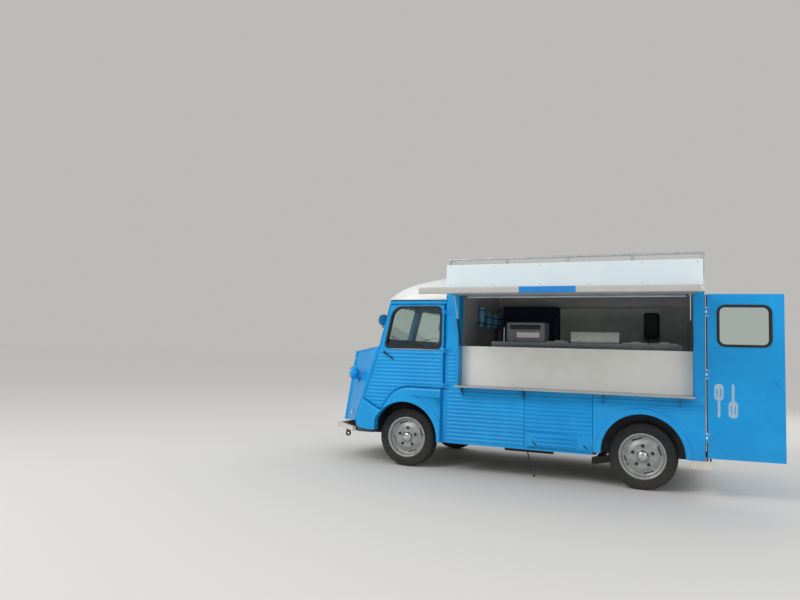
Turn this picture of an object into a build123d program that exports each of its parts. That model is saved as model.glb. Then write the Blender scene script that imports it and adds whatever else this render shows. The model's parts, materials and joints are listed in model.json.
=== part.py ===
from build123d import *
import math
import os

# Old corrugated sheet-metal box van, fitted out to sell ice cream.
# Millimetres. +X points forward, +Y to the left, where the serving hatch is, and +Z up.
# The origin is on the ground, on the centreline, midway between the axles.
# The serving flap and the rear door stand open.

# Wheels and running gear
wheelbase = 2500
front_axle_x = wheelbase / 2
rear_axle_x = -wheelbase / 2
track = 1640
tyre_radius = 325
tyre_width = 172
rim_flange_radius = 222
bead_radius = 206
bead_gap = 0.3
stub_radius = 20
running_gap = 0.05
kingpin_y = 735
kingpin_radius = 12
knuckle_radius = 26
rail_y = 360
rail_width = 60

# Body shell
half_width = 1000
wall = 36
floor_top = 380
floor_thickness = 30
sill_bottom = 310
sill_top = 922
eaves_z = 1930
roof_rise = 360
roof_thickness = 30
load_front_x = front_axle_x - 474
load_rear_x = rear_axle_x - 560
post_rear_x = load_front_x - 116
panel_seams = (-106, rear_axle_x + 460)
cross_member_x = rear_axle_x + 550
seam_gap = 4
rib_pitch = 41.5
rib_width = 32
rib_height = 7
arch_lip_width = 54
arch_lip_height = 14
wing_proud = 35
wing_depth = 95
flare_radius = 470
flare_height = 16
wheelhouse_top = 760
wheelhouse_skin = 10
partition_x = load_front_x - 40
partition_thickness = 24

# Cab and nose
cab_eaves_z = 1857
screen_top_x = front_axle_x + 195
screen_lean = 0.2526
foot_lean = 0.31
screen_vee = 70
pillar_width = 58
scuttle_bottom_z = 480
wing_rear_x = load_front_x + 36
screen_sill_z = 1335
nose_half_width = 520
nose_front_x = front_axle_x + 865
nose_front_z = 1270
nose_front_lean = 0.1548
nose_bottom_z = 430
nose_frame = 26
bonnet_rear_x = front_axle_x + 418
bonnet_lip = 85
bonnet_skin = 22
cab_door_rear_x = load_front_x + 24
cab_door_top_z = 1804
cab_door_edge = 16
door_gap = 10
lamp_radius = 76
lamp_place = (nose_front_x - 107, nose_half_width + 265, 1011)

# Serving side
shelf_z = 936
shelf_thickness = 14
shelf_out_y = half_width + 145
hatch_front_x = load_front_x - 148
hatch_rear_x = load_rear_x + 100
shelf_front_x = hatch_front_x - 10
hatch_top_z = 1905
board_y = half_width - 132
board_thickness = 18
board_top_z = 1358
flap_front_x = hatch_front_x + 87
flap_rear_x = hatch_rear_x - 60
flap_length = 960
flap_thickness = 62
flap_open = 84.3
flap_hinge = (half_width + 8, eaves_z - 3)
flap_inset = 12
strut_arm = 220
strut_foot = (half_width - 16, 1372)
strut_radius = 11
strut_rod_radius = 5
strut_tube_length = 300
strut_inset = 22

# Rear door and the signs on the roof
rear_door_width = 647
rear_door_thickness = 30
rear_door_bottom = 368
rear_door_top = 1902
rear_door_open = 84.7
rear_door_gap = 7
rear_door_overlap = 10
rear_hinge = (load_rear_x - 31, half_width - 8)
sign_front_x = load_front_x + 3
sign_rear_x = load_rear_x + 11
sign_low_z = 1990
sign_high_z = 2240
rail_tube_radius = 12
rail_rise = 16
rail_tube_z = eaves_z + roof_rise + rail_rise
rail_tube_y = half_width - 55

wheel_y = track / 2
inner_y = half_width - wall
arch_x = {"front": front_axle_x - 10, "rear": rear_axle_x - 6}
arch_z = {"front": 330, "rear": 352}
arch_radius = {"front": 395, "rear": 388}


def block(x0, x1, y0, y1, z0, z1):
    centre = Pos((x0 + x1) / 2, (y0 + y1) / 2, (z0 + z1) / 2)
    return centre * Box(x1 - x0, y1 - y0, z1 - z0)


def joined(*shapes):
    whole = Part()
    for shape in shapes:
        whole += shape
    return whole


def other_side(shape):
    return mirror(shape, about=Plane.XZ)


def both_sides(shape):
    return joined(shape, other_side(shape))


def outline(points, radius=0):
    face = make_face(Polyline(*points, close=True))
    return fillet(face.vertices(), radius) if radius else face


def shaped(corners):
    # An outline whose corners are (x, z, radius)
    face = make_face(Polyline(*[(x, z) for x, z, _ in corners], close=True))
    for x, z, radius in corners:
        if radius:
            face = fillet(face.vertices().sort_by_distance((x, z, 0))[0], radius)
    return face


def side_prism(face, y0, y1):
    # A face drawn in X and Z, from y0 to y1
    return Pos(0, y0, 0) * extrude(Plane.XZ * face, amount=y0 - y1)


def cross_prism(face, x0, x1):
    # A face drawn in Y and Z, from x0 to x1
    return Pos(x0, 0, 0) * extrude(Plane.YZ * face, amount=x1 - x0)


def plan_prism(face, z0, z1):
    return Pos(0, 0, z0) * extrude(face, amount=z1 - z0)


def rod(start, end, radius):
    run = Vector(*end) - Vector(*start)
    return Solid.make_cylinder(radius, run.length, Plane(origin=start, z_dir=run))


def lathe(points):
    # Points are (radius, distance along the wheel's axle)
    return revolve(make_face(Polyline(*points, close=True)), axis=Axis.Y)


def ribbed(x0, x1, z0, z1, ribs, inner=inner_y, outer=half_width):
    # A wall that is flat inside, with horizontal ribs outside in each (low, high) stretch
    edges = []
    at = (outer, z0)
    for low, high in ribs:
        for i in range(int((high - low) / rib_pitch)):
            foot = (outer, low + i * rib_pitch)
            head = (outer, foot[1] + rib_width)
            crest = (outer + rib_height, foot[1] + rib_width / 2)
            edges += [Line(at, foot), ThreePointArc(foot, crest, head)]
            at = head
    corners = [at, (outer, z1), (inner, z1), (inner, z0), (outer, z0)]
    edges += [Line(a, b) for a, b in zip(corners, corners[1:])]
    return cross_prism(make_face(edges), x0, x1)


def roof_face(half, low_z, rise):
    # One arched section: straight below, three arcs above
    shoulder, corner = (0.75, 0.77), (0.93, 0.49)
    left = ThreePointArc(
        (-half, low_z),
        (-corner[0] * half, low_z + corner[1] * rise),
        (-shoulder[0] * half, low_z + shoulder[1] * rise),
    )
    crown = ThreePointArc(left @ 1, (0, low_z + rise), (shoulder[0] * half, low_z + shoulder[1] * rise))
    right = ThreePointArc(crown @ 1, (corner[0] * half, low_z + corner[1] * rise), (half, low_z))
    return make_face([left, crown, right, Line(right @ 1, left @ 0)])


def cab_front_x(z):
    # The line of the windscreen pillar, which leans back, and leans more below the screen's sill
    above = screen_top_x + (cab_eaves_z - max(z, screen_sill_z)) * screen_lean
    return above + max(screen_sill_z - z, 0) * foot_lean


def nose_x(z):
    return nose_front_x + (nose_front_z - z) * nose_front_lean


def bonnet_z(x):
    rear_x = cab_front_x(screen_sill_z)
    fall = (screen_sill_z - nose_front_z) / (nose_front_x - rear_x)
    return screen_sill_z - (x - rear_x) * fall


def hinge(place, spans, fixed_leaf, moving_leaf, radius=9):
    # A pin hinge on a vertical axis: each span is (low, high) in Z, its middle knuckle moves
    x, y = place
    pin = radius / 2
    fixed, moving = Part(), Part()
    for low, high in spans:
        third = (high - low) / 3
        fixed += rod((x, y, low), (x, y, high), pin)
        for z0, z1 in ((low, low + third), (high - third, high)):
            fixed += rod((x, y, z0), (x, y, z1), radius)
            fixed += block(*fixed_leaf, z0, z1)
        middle = (low + third + 0.5, high - third - 0.5)
        knuckle = rod((x, y, middle[0]), (x, y, middle[1]), radius) + block(*moving_leaf, *middle)
        moving += knuckle - rod((x, y, low), (x, y, high), pin + running_gap)
    return fixed, moving


def arch_cut(axle, y0, y1=half_width + 100):
    x, z, radius = arch_x[axle], arch_z[axle], arch_radius[axle]
    return rod((x, y0, z), (x, y1, z), radius) + block(x - radius, x + radius, y0, y1, 0, z)


def wheelhouse(axle, inside_y, reach):
    # A box over one wheel, open outwards and below
    x = arch_x[axle]
    floor_bottom = floor_top - floor_thickness
    outer = block(x - reach, x + reach, inside_y, inner_y, floor_bottom, wheelhouse_top)
    skin = wheelhouse_skin
    room = block(x - reach + skin, x + reach - skin, inside_y + skin, inner_y, 0, wheelhouse_top - skin)
    return outer, room


# Underbody

front_house = (400, 420)
rear_house = (680, 412)
toe_board = (front_axle_x + 540, front_axle_x + 600)
wing_inner_y = half_width + wing_proud - wing_depth
exhaust_z = 228
tail_pipe_z = 277
rear_tube = (rear_axle_x + 460, 216, 32)
arm_ends = {"low": 216, "high": 444}
arm_eye = (24, 20)
kingpin_reach = 40
bumper_bar = ((nose_front_x + 185, nose_half_width + 65), (nose_front_x - 200, half_width - 60))
bumper_depth = 40
bumper_height = (348, 398)
tow_eyes = {"front": (nose_front_x - 75, half_width - 202, 300), "rear": (load_rear_x - 40, 0, 225)}
tow_eye_radius = 16
tow_ring = (32, 8)


def wheelhouses():
    # A box over each wheel, open outwards and below
    whole = Part()
    for axle, (inside_y, reach) in (("front", front_house), ("rear", rear_house)):
        outer, room = wheelhouse(axle, inside_y, reach)
        whole += both_sides(outer - room)
    return whole - both_sides(wing_room())


def wing_room():
    return block(wing_rear_x, toe_board[1] + 10, wing_inner_y, half_width, 0, 900)


def platform():
    # Floor, sills and chassis rails, with the toe board at the front of the cab
    floor_bottom = floor_top - floor_thickness
    toe_rear, toe_front = toe_board
    engine_way = 290
    front = arch_x["front"] + front_house[1]
    whole = block(load_rear_x + wall, front, -inner_y, inner_y, floor_bottom, floor_top)
    whole += block(front_axle_x, toe_front, -wing_inner_y, wing_inner_y, floor_bottom, floor_top)
    board = block(toe_rear, toe_front, engine_way, wing_inner_y, floor_top, scuttle_bottom_z)
    sill = block(rear_axle_x + 430, cab_door_rear_x, inner_y - 70, inner_y, sill_bottom, floor_bottom)
    chassis_rail = block(load_rear_x + wall, 600, 400, 450, 270, floor_bottom)
    whole += both_sides(sill) + both_sides(chassis_rail) + both_sides(board)
    for x in (load_rear_x + 70, cross_member_x, -100, 500):
        whole += block(x, x + 50, -inner_y + 10, inner_y - 10, sill_bottom, floor_bottom)
    for axle, (inside_y, reach) in (("front", front_house), ("rear", rear_house)):
        outer, room = wheelhouse(axle, inside_y, reach)
        whole -= both_sides(outer + room)
    return whole - both_sides(wing_room())


def front_cradle():
    # Side rails, cross members and the arms that hold the front knuckles
    y0, y1 = rail_y - rail_width / 2, rail_y + rail_width / 2
    low, high = 285, floor_top - floor_thickness
    front = bumper_bar[0][0] - bumper_depth
    rail = block(600, front, y0, y1, low, high) + block(toe_board[1], front, y0, y1, high, 400)
    tower = block(front_axle_x - 45, front_axle_x + 45, y1 - 5, y1 + 52, low - 80, high)
    side = rail + tower
    radius, height = arm_eye
    for z, inward in ((arm_ends["low"], 1), (arm_ends["high"], -1)):
        half = height / 2
        eye = rod((front_axle_x, kingpin_y, z - half), (front_axle_x, kingpin_y, z + half), radius)
        blade = block(front_axle_x - 20, front_axle_x + 20, y1 + 22, kingpin_y, z - half, z + half)
        tip = z + inward * (height / 2 + kingpin_reach)
        ends = [(front_axle_x, kingpin_y, at) for at in sorted((z, tip))]
        pin = rod(*ends, kingpin_radius)
        side += eye + blade + pin
    side += block(front_axle_x - 20, front_axle_x + 20, y1 + 22, y1 + 52, high - 5, arm_ends["high"])
    cross = block(toe_board[1], toe_board[1] + 110, -rail_y, rail_y, high, 400)
    cross += block(front_axle_x - 50, front_axle_x + 50, -rail_y, rail_y, low - 30, low + 30)
    return both_sides(side) + cross


def knuckle():
    # The left front knuckle: an upright on the kingpin with the stub axle outwards
    radius, height = arm_eye
    z0 = arm_ends["low"] + height / 2 + 0.5
    z1 = arm_ends["high"] - height / 2 - 0.5
    x, y = front_axle_x, kingpin_y
    upright = rod((x, y, z0), (x, y, z1), knuckle_radius)
    stub = rod((x, y, tyre_radius), (x, wheel_y + 30, tyre_radius), stub_radius)
    lever = block(x - 120, x, y - 16, y + 4, tyre_radius - 60, tyre_radius - 44)
    bore = rod((x, y, 0), (x, y, 1000), kingpin_radius + running_gap)
    return upright + stub + lever - bore


def rear_axle():
    # A cross tube below the chassis rails, with two trailing arms and their stub axles
    pivot_x, pivot_z, tube_radius = rear_tube
    arm_y = rear_house[0] + 42
    tube = rod((pivot_x, -arm_y, pivot_z), (pivot_x, arm_y, pivot_z), tube_radius)
    arm = side_prism(shaped([
        (pivot_x + 45, pivot_z - 36, 18), (pivot_x + 45, pivot_z + 36, 18),
        (rear_axle_x - 45, tyre_radius + 42, 18), (rear_axle_x - 45, tyre_radius - 42, 18),
    ]), arm_y - 30, arm_y)
    stub = rod((rear_axle_x, arm_y - 5, tyre_radius), (rear_axle_x, wheel_y + 30, tyre_radius), stub_radius)
    bracket = block(pivot_x - 12, pivot_x + 12, 405, 445, pivot_z, 270)
    return tube + both_sides(arm + stub + bracket)


def exhaust():
    y, z = 180, exhaust_z
    pipe = rod((front_axle_x + 230, y, z), (300, y, z), 20)
    silencer = rod((300, y, z), (-250, y, z), 58)
    tail = rod((-250, y, tail_pipe_z), (load_rear_x + 110, y, tail_pipe_z), 17)
    under = floor_top - floor_thickness
    hangers = [block(x, x + 20, y - 8, y + 8, tail_pipe_z, under) for x in (40, rear_axle_x - 250)]
    hangers.append(block(front_axle_x - 250, front_axle_x - 230, y - 8, y + 8, z, under))
    return joined(pipe, silencer, tail, *hangers)


def fuel_tank():
    x = cross_member_x + 80
    return block(x, x + 480, -380, -40, 170, floor_top - floor_thickness)


def prop_stay():
    # The thin stay that hangs below the sill behind the front panel
    return joined(
        block(-134, -106, inner_y - 48, inner_y - 20, sill_bottom - 10, sill_bottom),
        rod((-120, inner_y - 34, sill_bottom - 5), (-200, inner_y - 39, 40), 7),
        Pos(-200, inner_y - 39, 40) * Sphere(13),
    )


def engine_block():
    return block(front_axle_x + 230, front_axle_x + 760, -230, 230, 400, 990)


# Wheels

def tyre():
    shoulder, side = tyre_width / 2 - 8, tyre_width / 2
    seat, flange = bead_radius + bead_gap, rim_flange_radius + 1
    half = [(seat, 70), (flange, 73.5), (flange, side), (262, side + 1), (300, side - 3), (318, shoulder)]
    half += [(tyre_radius, shoulder - 16)]
    return lathe([(r, -w) for r, w in half] + [(r, w) for r, w in reversed(half)])


def rim():
    # Pressed steel wheel with its brake drum, hub and domed cap. Outwards is positive.
    bore = stub_radius + running_gap
    flange, seat, well = rim_flange_radius, bead_radius, 182
    skin = 7
    profile = [
        (flange, -84), (flange, -76), (seat, -72), (seat, -40), (well, -28), (well, 22), (seat, 34),
        (seat, 72),
        (flange, 76), (flange, 84), (212, 84), (seat - skin, 74), (seat - skin, 38), (well - skin, 26),
        (150, 34), (112, 50), (80, 44), (59, 44), (55, 60), (32, 74), (0, 79), (0, 36), (bore, 36),
        (bore, -50),
        (118, -50), (118, 36), (150, 22), (well - skin, 8), (well - skin, -24), (seat - skin, -36),
        (seat - skin, -74), (212, -84),
    ]
    whole = lathe(profile)
    for i in range(4):
        whole -= Rot(0, 20 + 90 * i, 0) * Pos(166, 28, 0) * Box(12, 60, 96)
    return whole


# Body shell

side_ribs = [(340, 905)]


def side_panels():
    # Lower panels between the wheel arches, left and right, with a locker panel behind the front one
    front_seam, rear_seam = panel_seams
    front = ribbed(front_seam + seam_gap / 2, post_rear_x, sill_bottom, sill_top, side_ribs)
    locker = ribbed(
        rear_seam + seam_gap / 2, front_seam - seam_gap / 2, sill_bottom, sill_top, [(500, 905)]
    )
    x0, x1 = rear_seam + 20, front_seam - 20
    cover = side_prism(
        outline([(x0 + 70, 485), (x1, 495), (x1, 335), (x0, 335), (x0, 400)], 8), half_width, half_width + 12
    )
    for i in range(3):
        z = 365 + 38 * i
        cover += side_prism(
            outline([(x0 + 130, z), (x0 + 130, z + 20), (x1 - 110, z + 20), (x1 - 110, z)], 9),
            half_width + 12, half_width + 18,
        )
    side = joined(front, locker + cover)
    return joined(side, other_side(side))


def rear_wings():
    x1 = panel_seams[1] - seam_gap / 2
    panel = ribbed(load_rear_x, x1, sill_bottom + 30, sill_top, [(805, 905)])
    x, z = arch_x["rear"], arch_z["rear"]
    lip_radius = arch_radius["rear"] + arch_lip_width
    lip = rod((x, half_width, z), (x, half_width + arch_lip_height, z), lip_radius)
    lip &= block(x - lip_radius, x + lip_radius, half_width, half_width + 50, sill_bottom + 30, sill_top)
    lip_edges = lip.faces().sort_by(Axis.Y)[-1].edges()
    lip = fillet(lip_edges.filter_by(GeomType.CIRCLE), arch_lip_height - 2)
    fixed, _ = rear_hinges(rear_hinge_spans[:1])
    return both_sides(panel + lip - arch_cut("rear", inner_y - 10)) + fixed


post_channel = (load_front_x - 38, load_front_x - 8, 22)


def body_posts():
    # The upright strips between the cab doors and the load body, with the post behind each door's edge
    strip = ribbed(
        post_rear_x, load_front_x, sill_bottom, eaves_z, [(340, 880), (955, 1310)]
    )
    low_x, high_x, depth = post_channel
    strip -= block(low_x, load_front_x, half_width - depth, half_width + 20, sill_bottom, 1310)
    strip -= block(high_x, load_front_x, half_width - depth, half_width + 20, 1310, eaves_z)
    post = block(post_rear_x, wing_rear_x - 4, inner_y - 50, inner_y - 6, floor_top, cab_eaves_z)
    post += block(post_rear_x, cab_door_rear_x + 30, inner_y - 50, inner_y - 6, 900, cab_eaves_z)
    post -= block(partition_x - partition_thickness, partition_x, 0, inner_y - 6, floor_top, cab_eaves_z)
    foot = block(load_front_x, wing_rear_x - 4, inner_y, half_width - post_channel[2], sill_bottom, 880)
    link = block(post_rear_x, load_front_x, inner_y - 6, inner_y, floor_top, cab_eaves_z)
    fixed, _ = cab_hinges()
    return both_sides(strip + post + link + foot + fixed)


def hatch_frame():
    # The left side above the shelf, with the serving opening and its linings
    bottom = shelf_z
    frame = block(load_rear_x, post_rear_x, inner_y, half_width, bottom, eaves_z)
    frame += block(load_rear_x, hatch_rear_x - 17, inner_y, half_width, sill_top, bottom)
    x0, x1 = hatch_rear_x - 12, hatch_front_x + 12
    lining = block(x0, x1, board_y - board_thickness, inner_y, bottom, hatch_top_z + 12)
    way = block(hatch_rear_x, hatch_front_x, 0, half_width + 10, bottom, hatch_top_z)
    fixed, _ = flap_hinges()
    door_fixed, _ = rear_hinges(rear_hinge_spans[1:])
    return frame + lining - way + fixed + strut_feet() + door_fixed


def side_wall_right():
    wall_part = ribbed(load_rear_x, post_rear_x, sill_top, eaves_z, [(950, 1900)])
    return other_side(wall_part)


def rear_frame():
    # The rear wall: a doorway on the left, ribbed sheet on the right, and the gable under the roof
    inner, outer = -load_rear_x - wall, -load_rear_x
    way_right = rear_hinge[1] + rear_door_overlap - rear_door_width - 6
    sheet = Rot(0, 0, 90) * ribbed(-inner_y, way_right, sill_bottom, eaves_z, [(420, 1880)], inner, outer)
    plain = block(load_rear_x, load_rear_x + wall, way_right, inner_y, sill_bottom, eaves_z)
    gable = cross_prism(
        roof_face(half_width - roof_thickness, eaves_z, roof_rise - roof_thickness),
        load_rear_x,
        load_rear_x + wall,
    )
    x0, x1 = load_rear_x - 50, load_rear_x + wall
    way = block(x0, x1, way_right + 30, inner_y - 14, floor_top, rear_door_top - 18)
    return sheet + plain + gable - way


def load_roof():
    outer = cross_prism(roof_face(half_width, eaves_z, roof_rise), load_rear_x, load_front_x)
    inner_face = roof_face(half_width - roof_thickness, eaves_z, roof_rise - roof_thickness)
    return outer - cross_prism(inner_face, load_rear_x - 10, load_front_x + 10)


def partition():
    # The wall between the cab and the load space
    x0, x1 = partition_x - partition_thickness, partition_x
    arch = cross_prism(roof_face(half_width - roof_thickness, eaves_z, roof_rise - roof_thickness), x0, x1)
    return arch + block(x0, x1, -inner_y + 6, inner_y - 6, floor_top, eaves_z)


cab_roof_sections = [  # x, rise of the arch above the cab's eaves
    (load_front_x, 335),
    (front_axle_x - 190, 302),
    (front_axle_x + 20, 230),
    (front_axle_x + 150, 146),
    (screen_top_x + 25, 60),
]


def cab_roof_shell(inset):
    faces = []
    for x, rise in cab_roof_sections:
        section = roof_face(half_width - inset, cab_eaves_z, rise - inset)
        faces.append(Pos(x, 0, 0) * (Plane.YZ * section))
    return loft(faces)


def cab_roof():
    room = block(0, screen_top_x - 30, -half_width, half_width, 0, rail_tube_z)
    inside = cab_roof_shell(roof_thickness) & room
    return cab_roof_shell(0) - inside


def lean_slab(front, rear, levels, half):
    # A slab that leans with the windscreen and comes to a shallow point at the centreline
    def section(y, shift):
        edge = [(cab_front_x(z) + shift, z) for z in levels]
        points = [(x + front, z) for x, z in edge] + [(x - rear, z) for x, z in reversed(edge)]
        return Pos(0, y, 0) * (Plane.XZ * outline(points))
    side = loft([section(0, screen_vee), section(half, screen_vee * (1 - half / half_width))], ruled=True)
    return side + other_side(side)


def screen_opening(trim):
    far = half_width - 82 - trim
    near, low, high = 50 + trim, 1412 + trim, 1800 - trim
    face = outline([(near, low), (far, low), (far, high), (near, high)], 45)
    side = cross_prism(face, load_front_x, nose_front_x)
    return side + other_side(side)


column_axis = Vector(-0.55, 0, 0.835)
wheel_hub = Vector(front_axle_x - 25, 380, 1262)


def scuttle():
    # The cab's front wall with the windscreen pillars, the parcel shelf and the steering column
    levels = (scuttle_bottom_z, screen_sill_z, cab_eaves_z)
    wall_part = lean_slab(0, pillar_width, levels, half_width) - screen_opening(0)
    top = front_meet(4, 0)[1]
    wall_part -= both_sides(block(load_front_x, nose_front_x, wing_inner_y - 2, half_width + 1, 0, top))
    wall_part -= both_sides(door_rebate())
    wall_part -= block(load_front_x, nose_front_x, -290, 290, 0, 1012)
    x, front, wide = cab_front_x(screen_sill_z), bonnet_rear_x - 8, inner_y - 2
    cowl = plan_prism(
        outline([(x - 20, -wide), (x - 20, wide), (x, wide), (front, wide - 78), (front, 78 - wide),
                 (x, -wide)]),
        bonnet_z(x) - bonnet_skin, bonnet_z(x) - 8,
    )
    wide = inner_y - 64
    parcel_shelf = block(front_axle_x + 220, cab_front_x(1225) - pillar_width + 10, -wide, wide, 1225, 1250)
    binnacle = block(front_axle_x + 230, cab_front_x(1290) - pillar_width + 10, 230, 560, 1250, 1330)
    column = rod(tuple(wheel_hub - column_axis * 1010), tuple(wheel_hub - column_axis * 40), 18)
    column -= block(toe_board[0], nose_front_x, 300, 500, 0, scuttle_bottom_z)
    column += block(front_axle_x + 422, cab_front_x(580), 368, 392, 560, 600)
    fixed, _ = bonnet_hinges()
    return joined(wall_part, cowl, parcel_shelf, binnacle, column, fixed, door_header()) - both_sides(flank())


def door_rebate():
    # The room that the cab door's front edge takes beside the pillar
    back = cab_door_edge - 6
    top = cab_door_top_z + 8
    low, rear = 600, load_front_x
    edge = [(cab_front_x(z) - back, z) for z in (low, screen_sill_z, top)]
    return side_prism(outline(edge + [(rear, top), (rear, low)]), inner_y - 6, half_width + 1)


def door_header():
    # The rail over each cab door, under the roof's edge
    low, back = cab_door_top_z + 8, cab_door_edge - 6
    rail = side_prism(outline([(load_front_x, low), (cab_front_x(low) - back, low),
                               (cab_front_x(cab_eaves_z) - back, cab_eaves_z), (load_front_x, cab_eaves_z)]),
                      inner_y - 6, half_width)
    outer_low = rail.edges().filter_by(Axis.X).sort_by(lambda e: e.center().Y - e.center().Z)[-1]
    return both_sides(fillet(outer_low, 12))


def windscreen():
    return lean_slab(-20, 25, (1380, 1830), half_width) & screen_opening(0.3)


def door_window(trim):
    rear, low_front, top_front = cab_door_rear_x + 36, front_axle_x + 250, front_axle_x + 152
    low, top = 1326, 1775
    return shaped([(rear + trim, low + trim, 48), (low_front - trim, low + trim, 48),
                   (top_front - trim, top - trim, 100), (rear + trim, top - trim, 48)])


wing_line = [  # x, z of the line between door and front wing, from the rear forwards
    (wing_rear_x, 885),
    (front_axle_x + 110, 885),
    (front_axle_x + 280, 612),
    (front_axle_x + 525, 746),
]
wing_radii = (300, 34)
wing_tip = (front_axle_x + 342, 393)


def wing_corners(gap):
    # The two bends of that line, moved up by the gap, with their radii
    corners = []
    for i, radius in enumerate(wing_radii):
        before, at, after = (Vector(*wing_line[i + k]) for k in range(3))
        normals = []
        for run in (at - before, after - at):
            normals.append(Vector(-run.Y, run.X).normalized())
        shift = (normals[0] + normals[1]) * (gap / (1 + normals[0].dot(normals[1])))
        corners.append((at.X + shift.X, at.Y + shift.Y, radius + (gap if i == 0 else -gap)))
    return corners


def front_meet(gap, back):
    # Where that line, moved up by the gap, meets the line of the cab's front, moved back
    (x0, z0), (x1, z1) = wing_line[2:]
    slope = (z1 - z0) / (x1 - x0)
    low = z0 + gap * math.hypot(1, slope)
    z = (low + slope * (cab_front_x(0) - back - x0)) / (1 + slope * foot_lean)
    return cab_front_x(z) - back, z


def front_wings():
    # A wing with a rounded top, a flare round the arch and a flat field behind it
    outer_y = half_width + wing_proud
    tip_x, tip_z = wing_tip
    corners = [(*wing_line[0], 0), *wing_corners(0), (*front_meet(0, 2), 0), (cab_front_x(492) - 2, 492, 0),
               (tip_x + 220, tip_z + 23, 40), (tip_x + 108, tip_z, 40), (tip_x, tip_z, 0),
               (tip_x, sill_bottom, 0),
               (wing_rear_x, sill_bottom, 0)]
    wing = side_prism(shaped(corners), outer_y - wing_depth, outer_y)
    outer_edges = wing.faces().sort_by(Axis.Y)[-1].edges()
    wing = fillet([e for e in outer_edges if e.center().Z > 590 and e.center().X > wing_rear_x + 5], 30)
    wing -= arch_cut("front", half_width - 200) & block(0, tip_x, 0, half_width + 100, 0, 1000)
    x, z = arch_x["front"], arch_z["front"]
    field = side_prism(outline([(wing_rear_x - 10, 300), (wing_rear_x - 10, 786),
                                (x - 15, z + flare_radius - 2),
                                (x - 15, 300)]), outer_y - flare_height, outer_y + 10)
    return both_sides(wing - (field - rod((x, 900, z), (x, outer_y + 20, z), flare_radius)))


def cab_hinges():
    x = (load_front_x + cab_door_rear_x) / 2
    y = half_width + 9
    return hinge((x, y), ((900, 945), (1280, 1325), (1700, 1745)), (flap_front_x + 7, x, half_width, y),
                 (x, cab_door_rear_x + 30, half_width, y))


def door_face(below, rear, back):
    # The cab door's outline: its gap below, its rear edge, and its distance behind the cab's front
    top = cab_door_top_z
    return shaped([
        (rear, wing_line[0][1] + below, 0), *wing_corners(below), (*front_meet(below, back), 8),
        (cab_front_x(screen_sill_z) - back, screen_sill_z, 0), (cab_front_x(top) - back, top, 8),
        (rear, top, 0),
    ])


door_handle = (front_axle_x + 250, half_width, 1265)


def cab_door():
    plate = side_prism(door_face(door_gap, cab_door_rear_x, cab_door_edge), inner_y, half_width)
    face = door_face(door_gap + 12, cab_door_rear_x + 16, cab_door_edge + 20)
    field = side_prism(face, half_width - 1, half_width + 50)
    ribs = ribbed(load_front_x, nose_front_x, sill_bottom, cab_eaves_z, [(630, 1322)])
    door = plate + (ribs & field)
    door -= side_prism(door_window(0), inner_y - 10, half_width + 50)
    x, y, z = door_handle
    handle = rod((x, y + 17, z), (x - 110, y + 17, z - 75), 7) + rod((x, y - 5, z), (x, y + 25, z), 14)
    _, moving = cab_hinges()
    return joined(door, handle, moving)


def door_glass():
    return side_prism(door_window(0.3), half_width - 22, half_width - 17)


# Nose

flank_skin = 40


def flank():
    # The left side of the nose, between the pillar line and the grille panel
    skin = flank_skin
    rear_low, front_low = scuttle_bottom_z, nose_bottom_z
    rear_face = outline([
        (cab_front_x(rear_low), rear_low), (cab_front_x(screen_sill_z), screen_sill_z),
        (cab_front_x(screen_sill_z) + skin, screen_sill_z - 6), (cab_front_x(rear_low) + skin, rear_low),
    ])
    front_face = outline([
        (nose_x(front_low) - nose_frame - skin, front_low),
        (nose_x(nose_front_z) - nose_frame - skin, nose_front_z),
        (nose_x(nose_front_z) - nose_frame, nose_front_z), (nose_x(front_low) - nose_frame, front_low),
    ])
    return loft([Pos(0, inner_y, 0) * (Plane.XZ * rear_face),
                 Pos(0, nose_half_width, 0) * (Plane.XZ * front_face)], ruled=True)


def bonnet_plan(inset):
    # Seen from above: from the cowl forwards, out to the flanks' outer faces
    rear_x = cab_front_x(screen_sill_z) + flank_skin
    fall = (inner_y - nose_half_width) / (nose_front_x - nose_frame - rear_x)
    rear_half = inner_y - (bonnet_rear_x - rear_x) * fall
    front_x = nose_front_x + 20
    points = [(bonnet_rear_x, rear_half - inset), (nose_front_x - nose_frame, nose_half_width - inset),
              (front_x, nose_half_width - inset)]
    return outline(points + [(x, -y) for x, y in reversed(points)])


def nose_sides():
    # The flanks, cut down where the bonnet lies on them
    x0, x1 = bonnet_rear_x - 4, nose_front_x + 100
    under = bonnet_skin + 4
    z0, z1 = bonnet_z(x0) - under, bonnet_z(x1) - under
    upper = side_prism(outline([(x0, z0), (x1, z1), (x1, 1500), (x0, 1500)]), 0, half_width + 100)
    return both_sides(flank() - upper)


def nose_front():
    # The grille panel with its slats
    low, high = nose_bottom_z, nose_front_z - bonnet_lip - 6
    def slab(z0, z1, front, back, half):
        face = outline([(nose_x(z0) - front, z0), (nose_x(z1) - front, z1),
                        (nose_x(z1) - back, z1), (nose_x(z0) - back, z0)])
        return side_prism(face, -half, half)
    panel = slab(low, high, 0, nose_frame, nose_half_width) - slab(560, 1120, -10, nose_frame + 10, 360)
    for i in range(15):
        z = 572 + 37 * i
        panel += slab(z, z + 16, 5, 21, 362)
    for y in (-180, 180):
        panel += Pos(0, y, 0) * slab(558, 1122, 21, 32, 8)
    return panel


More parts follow.
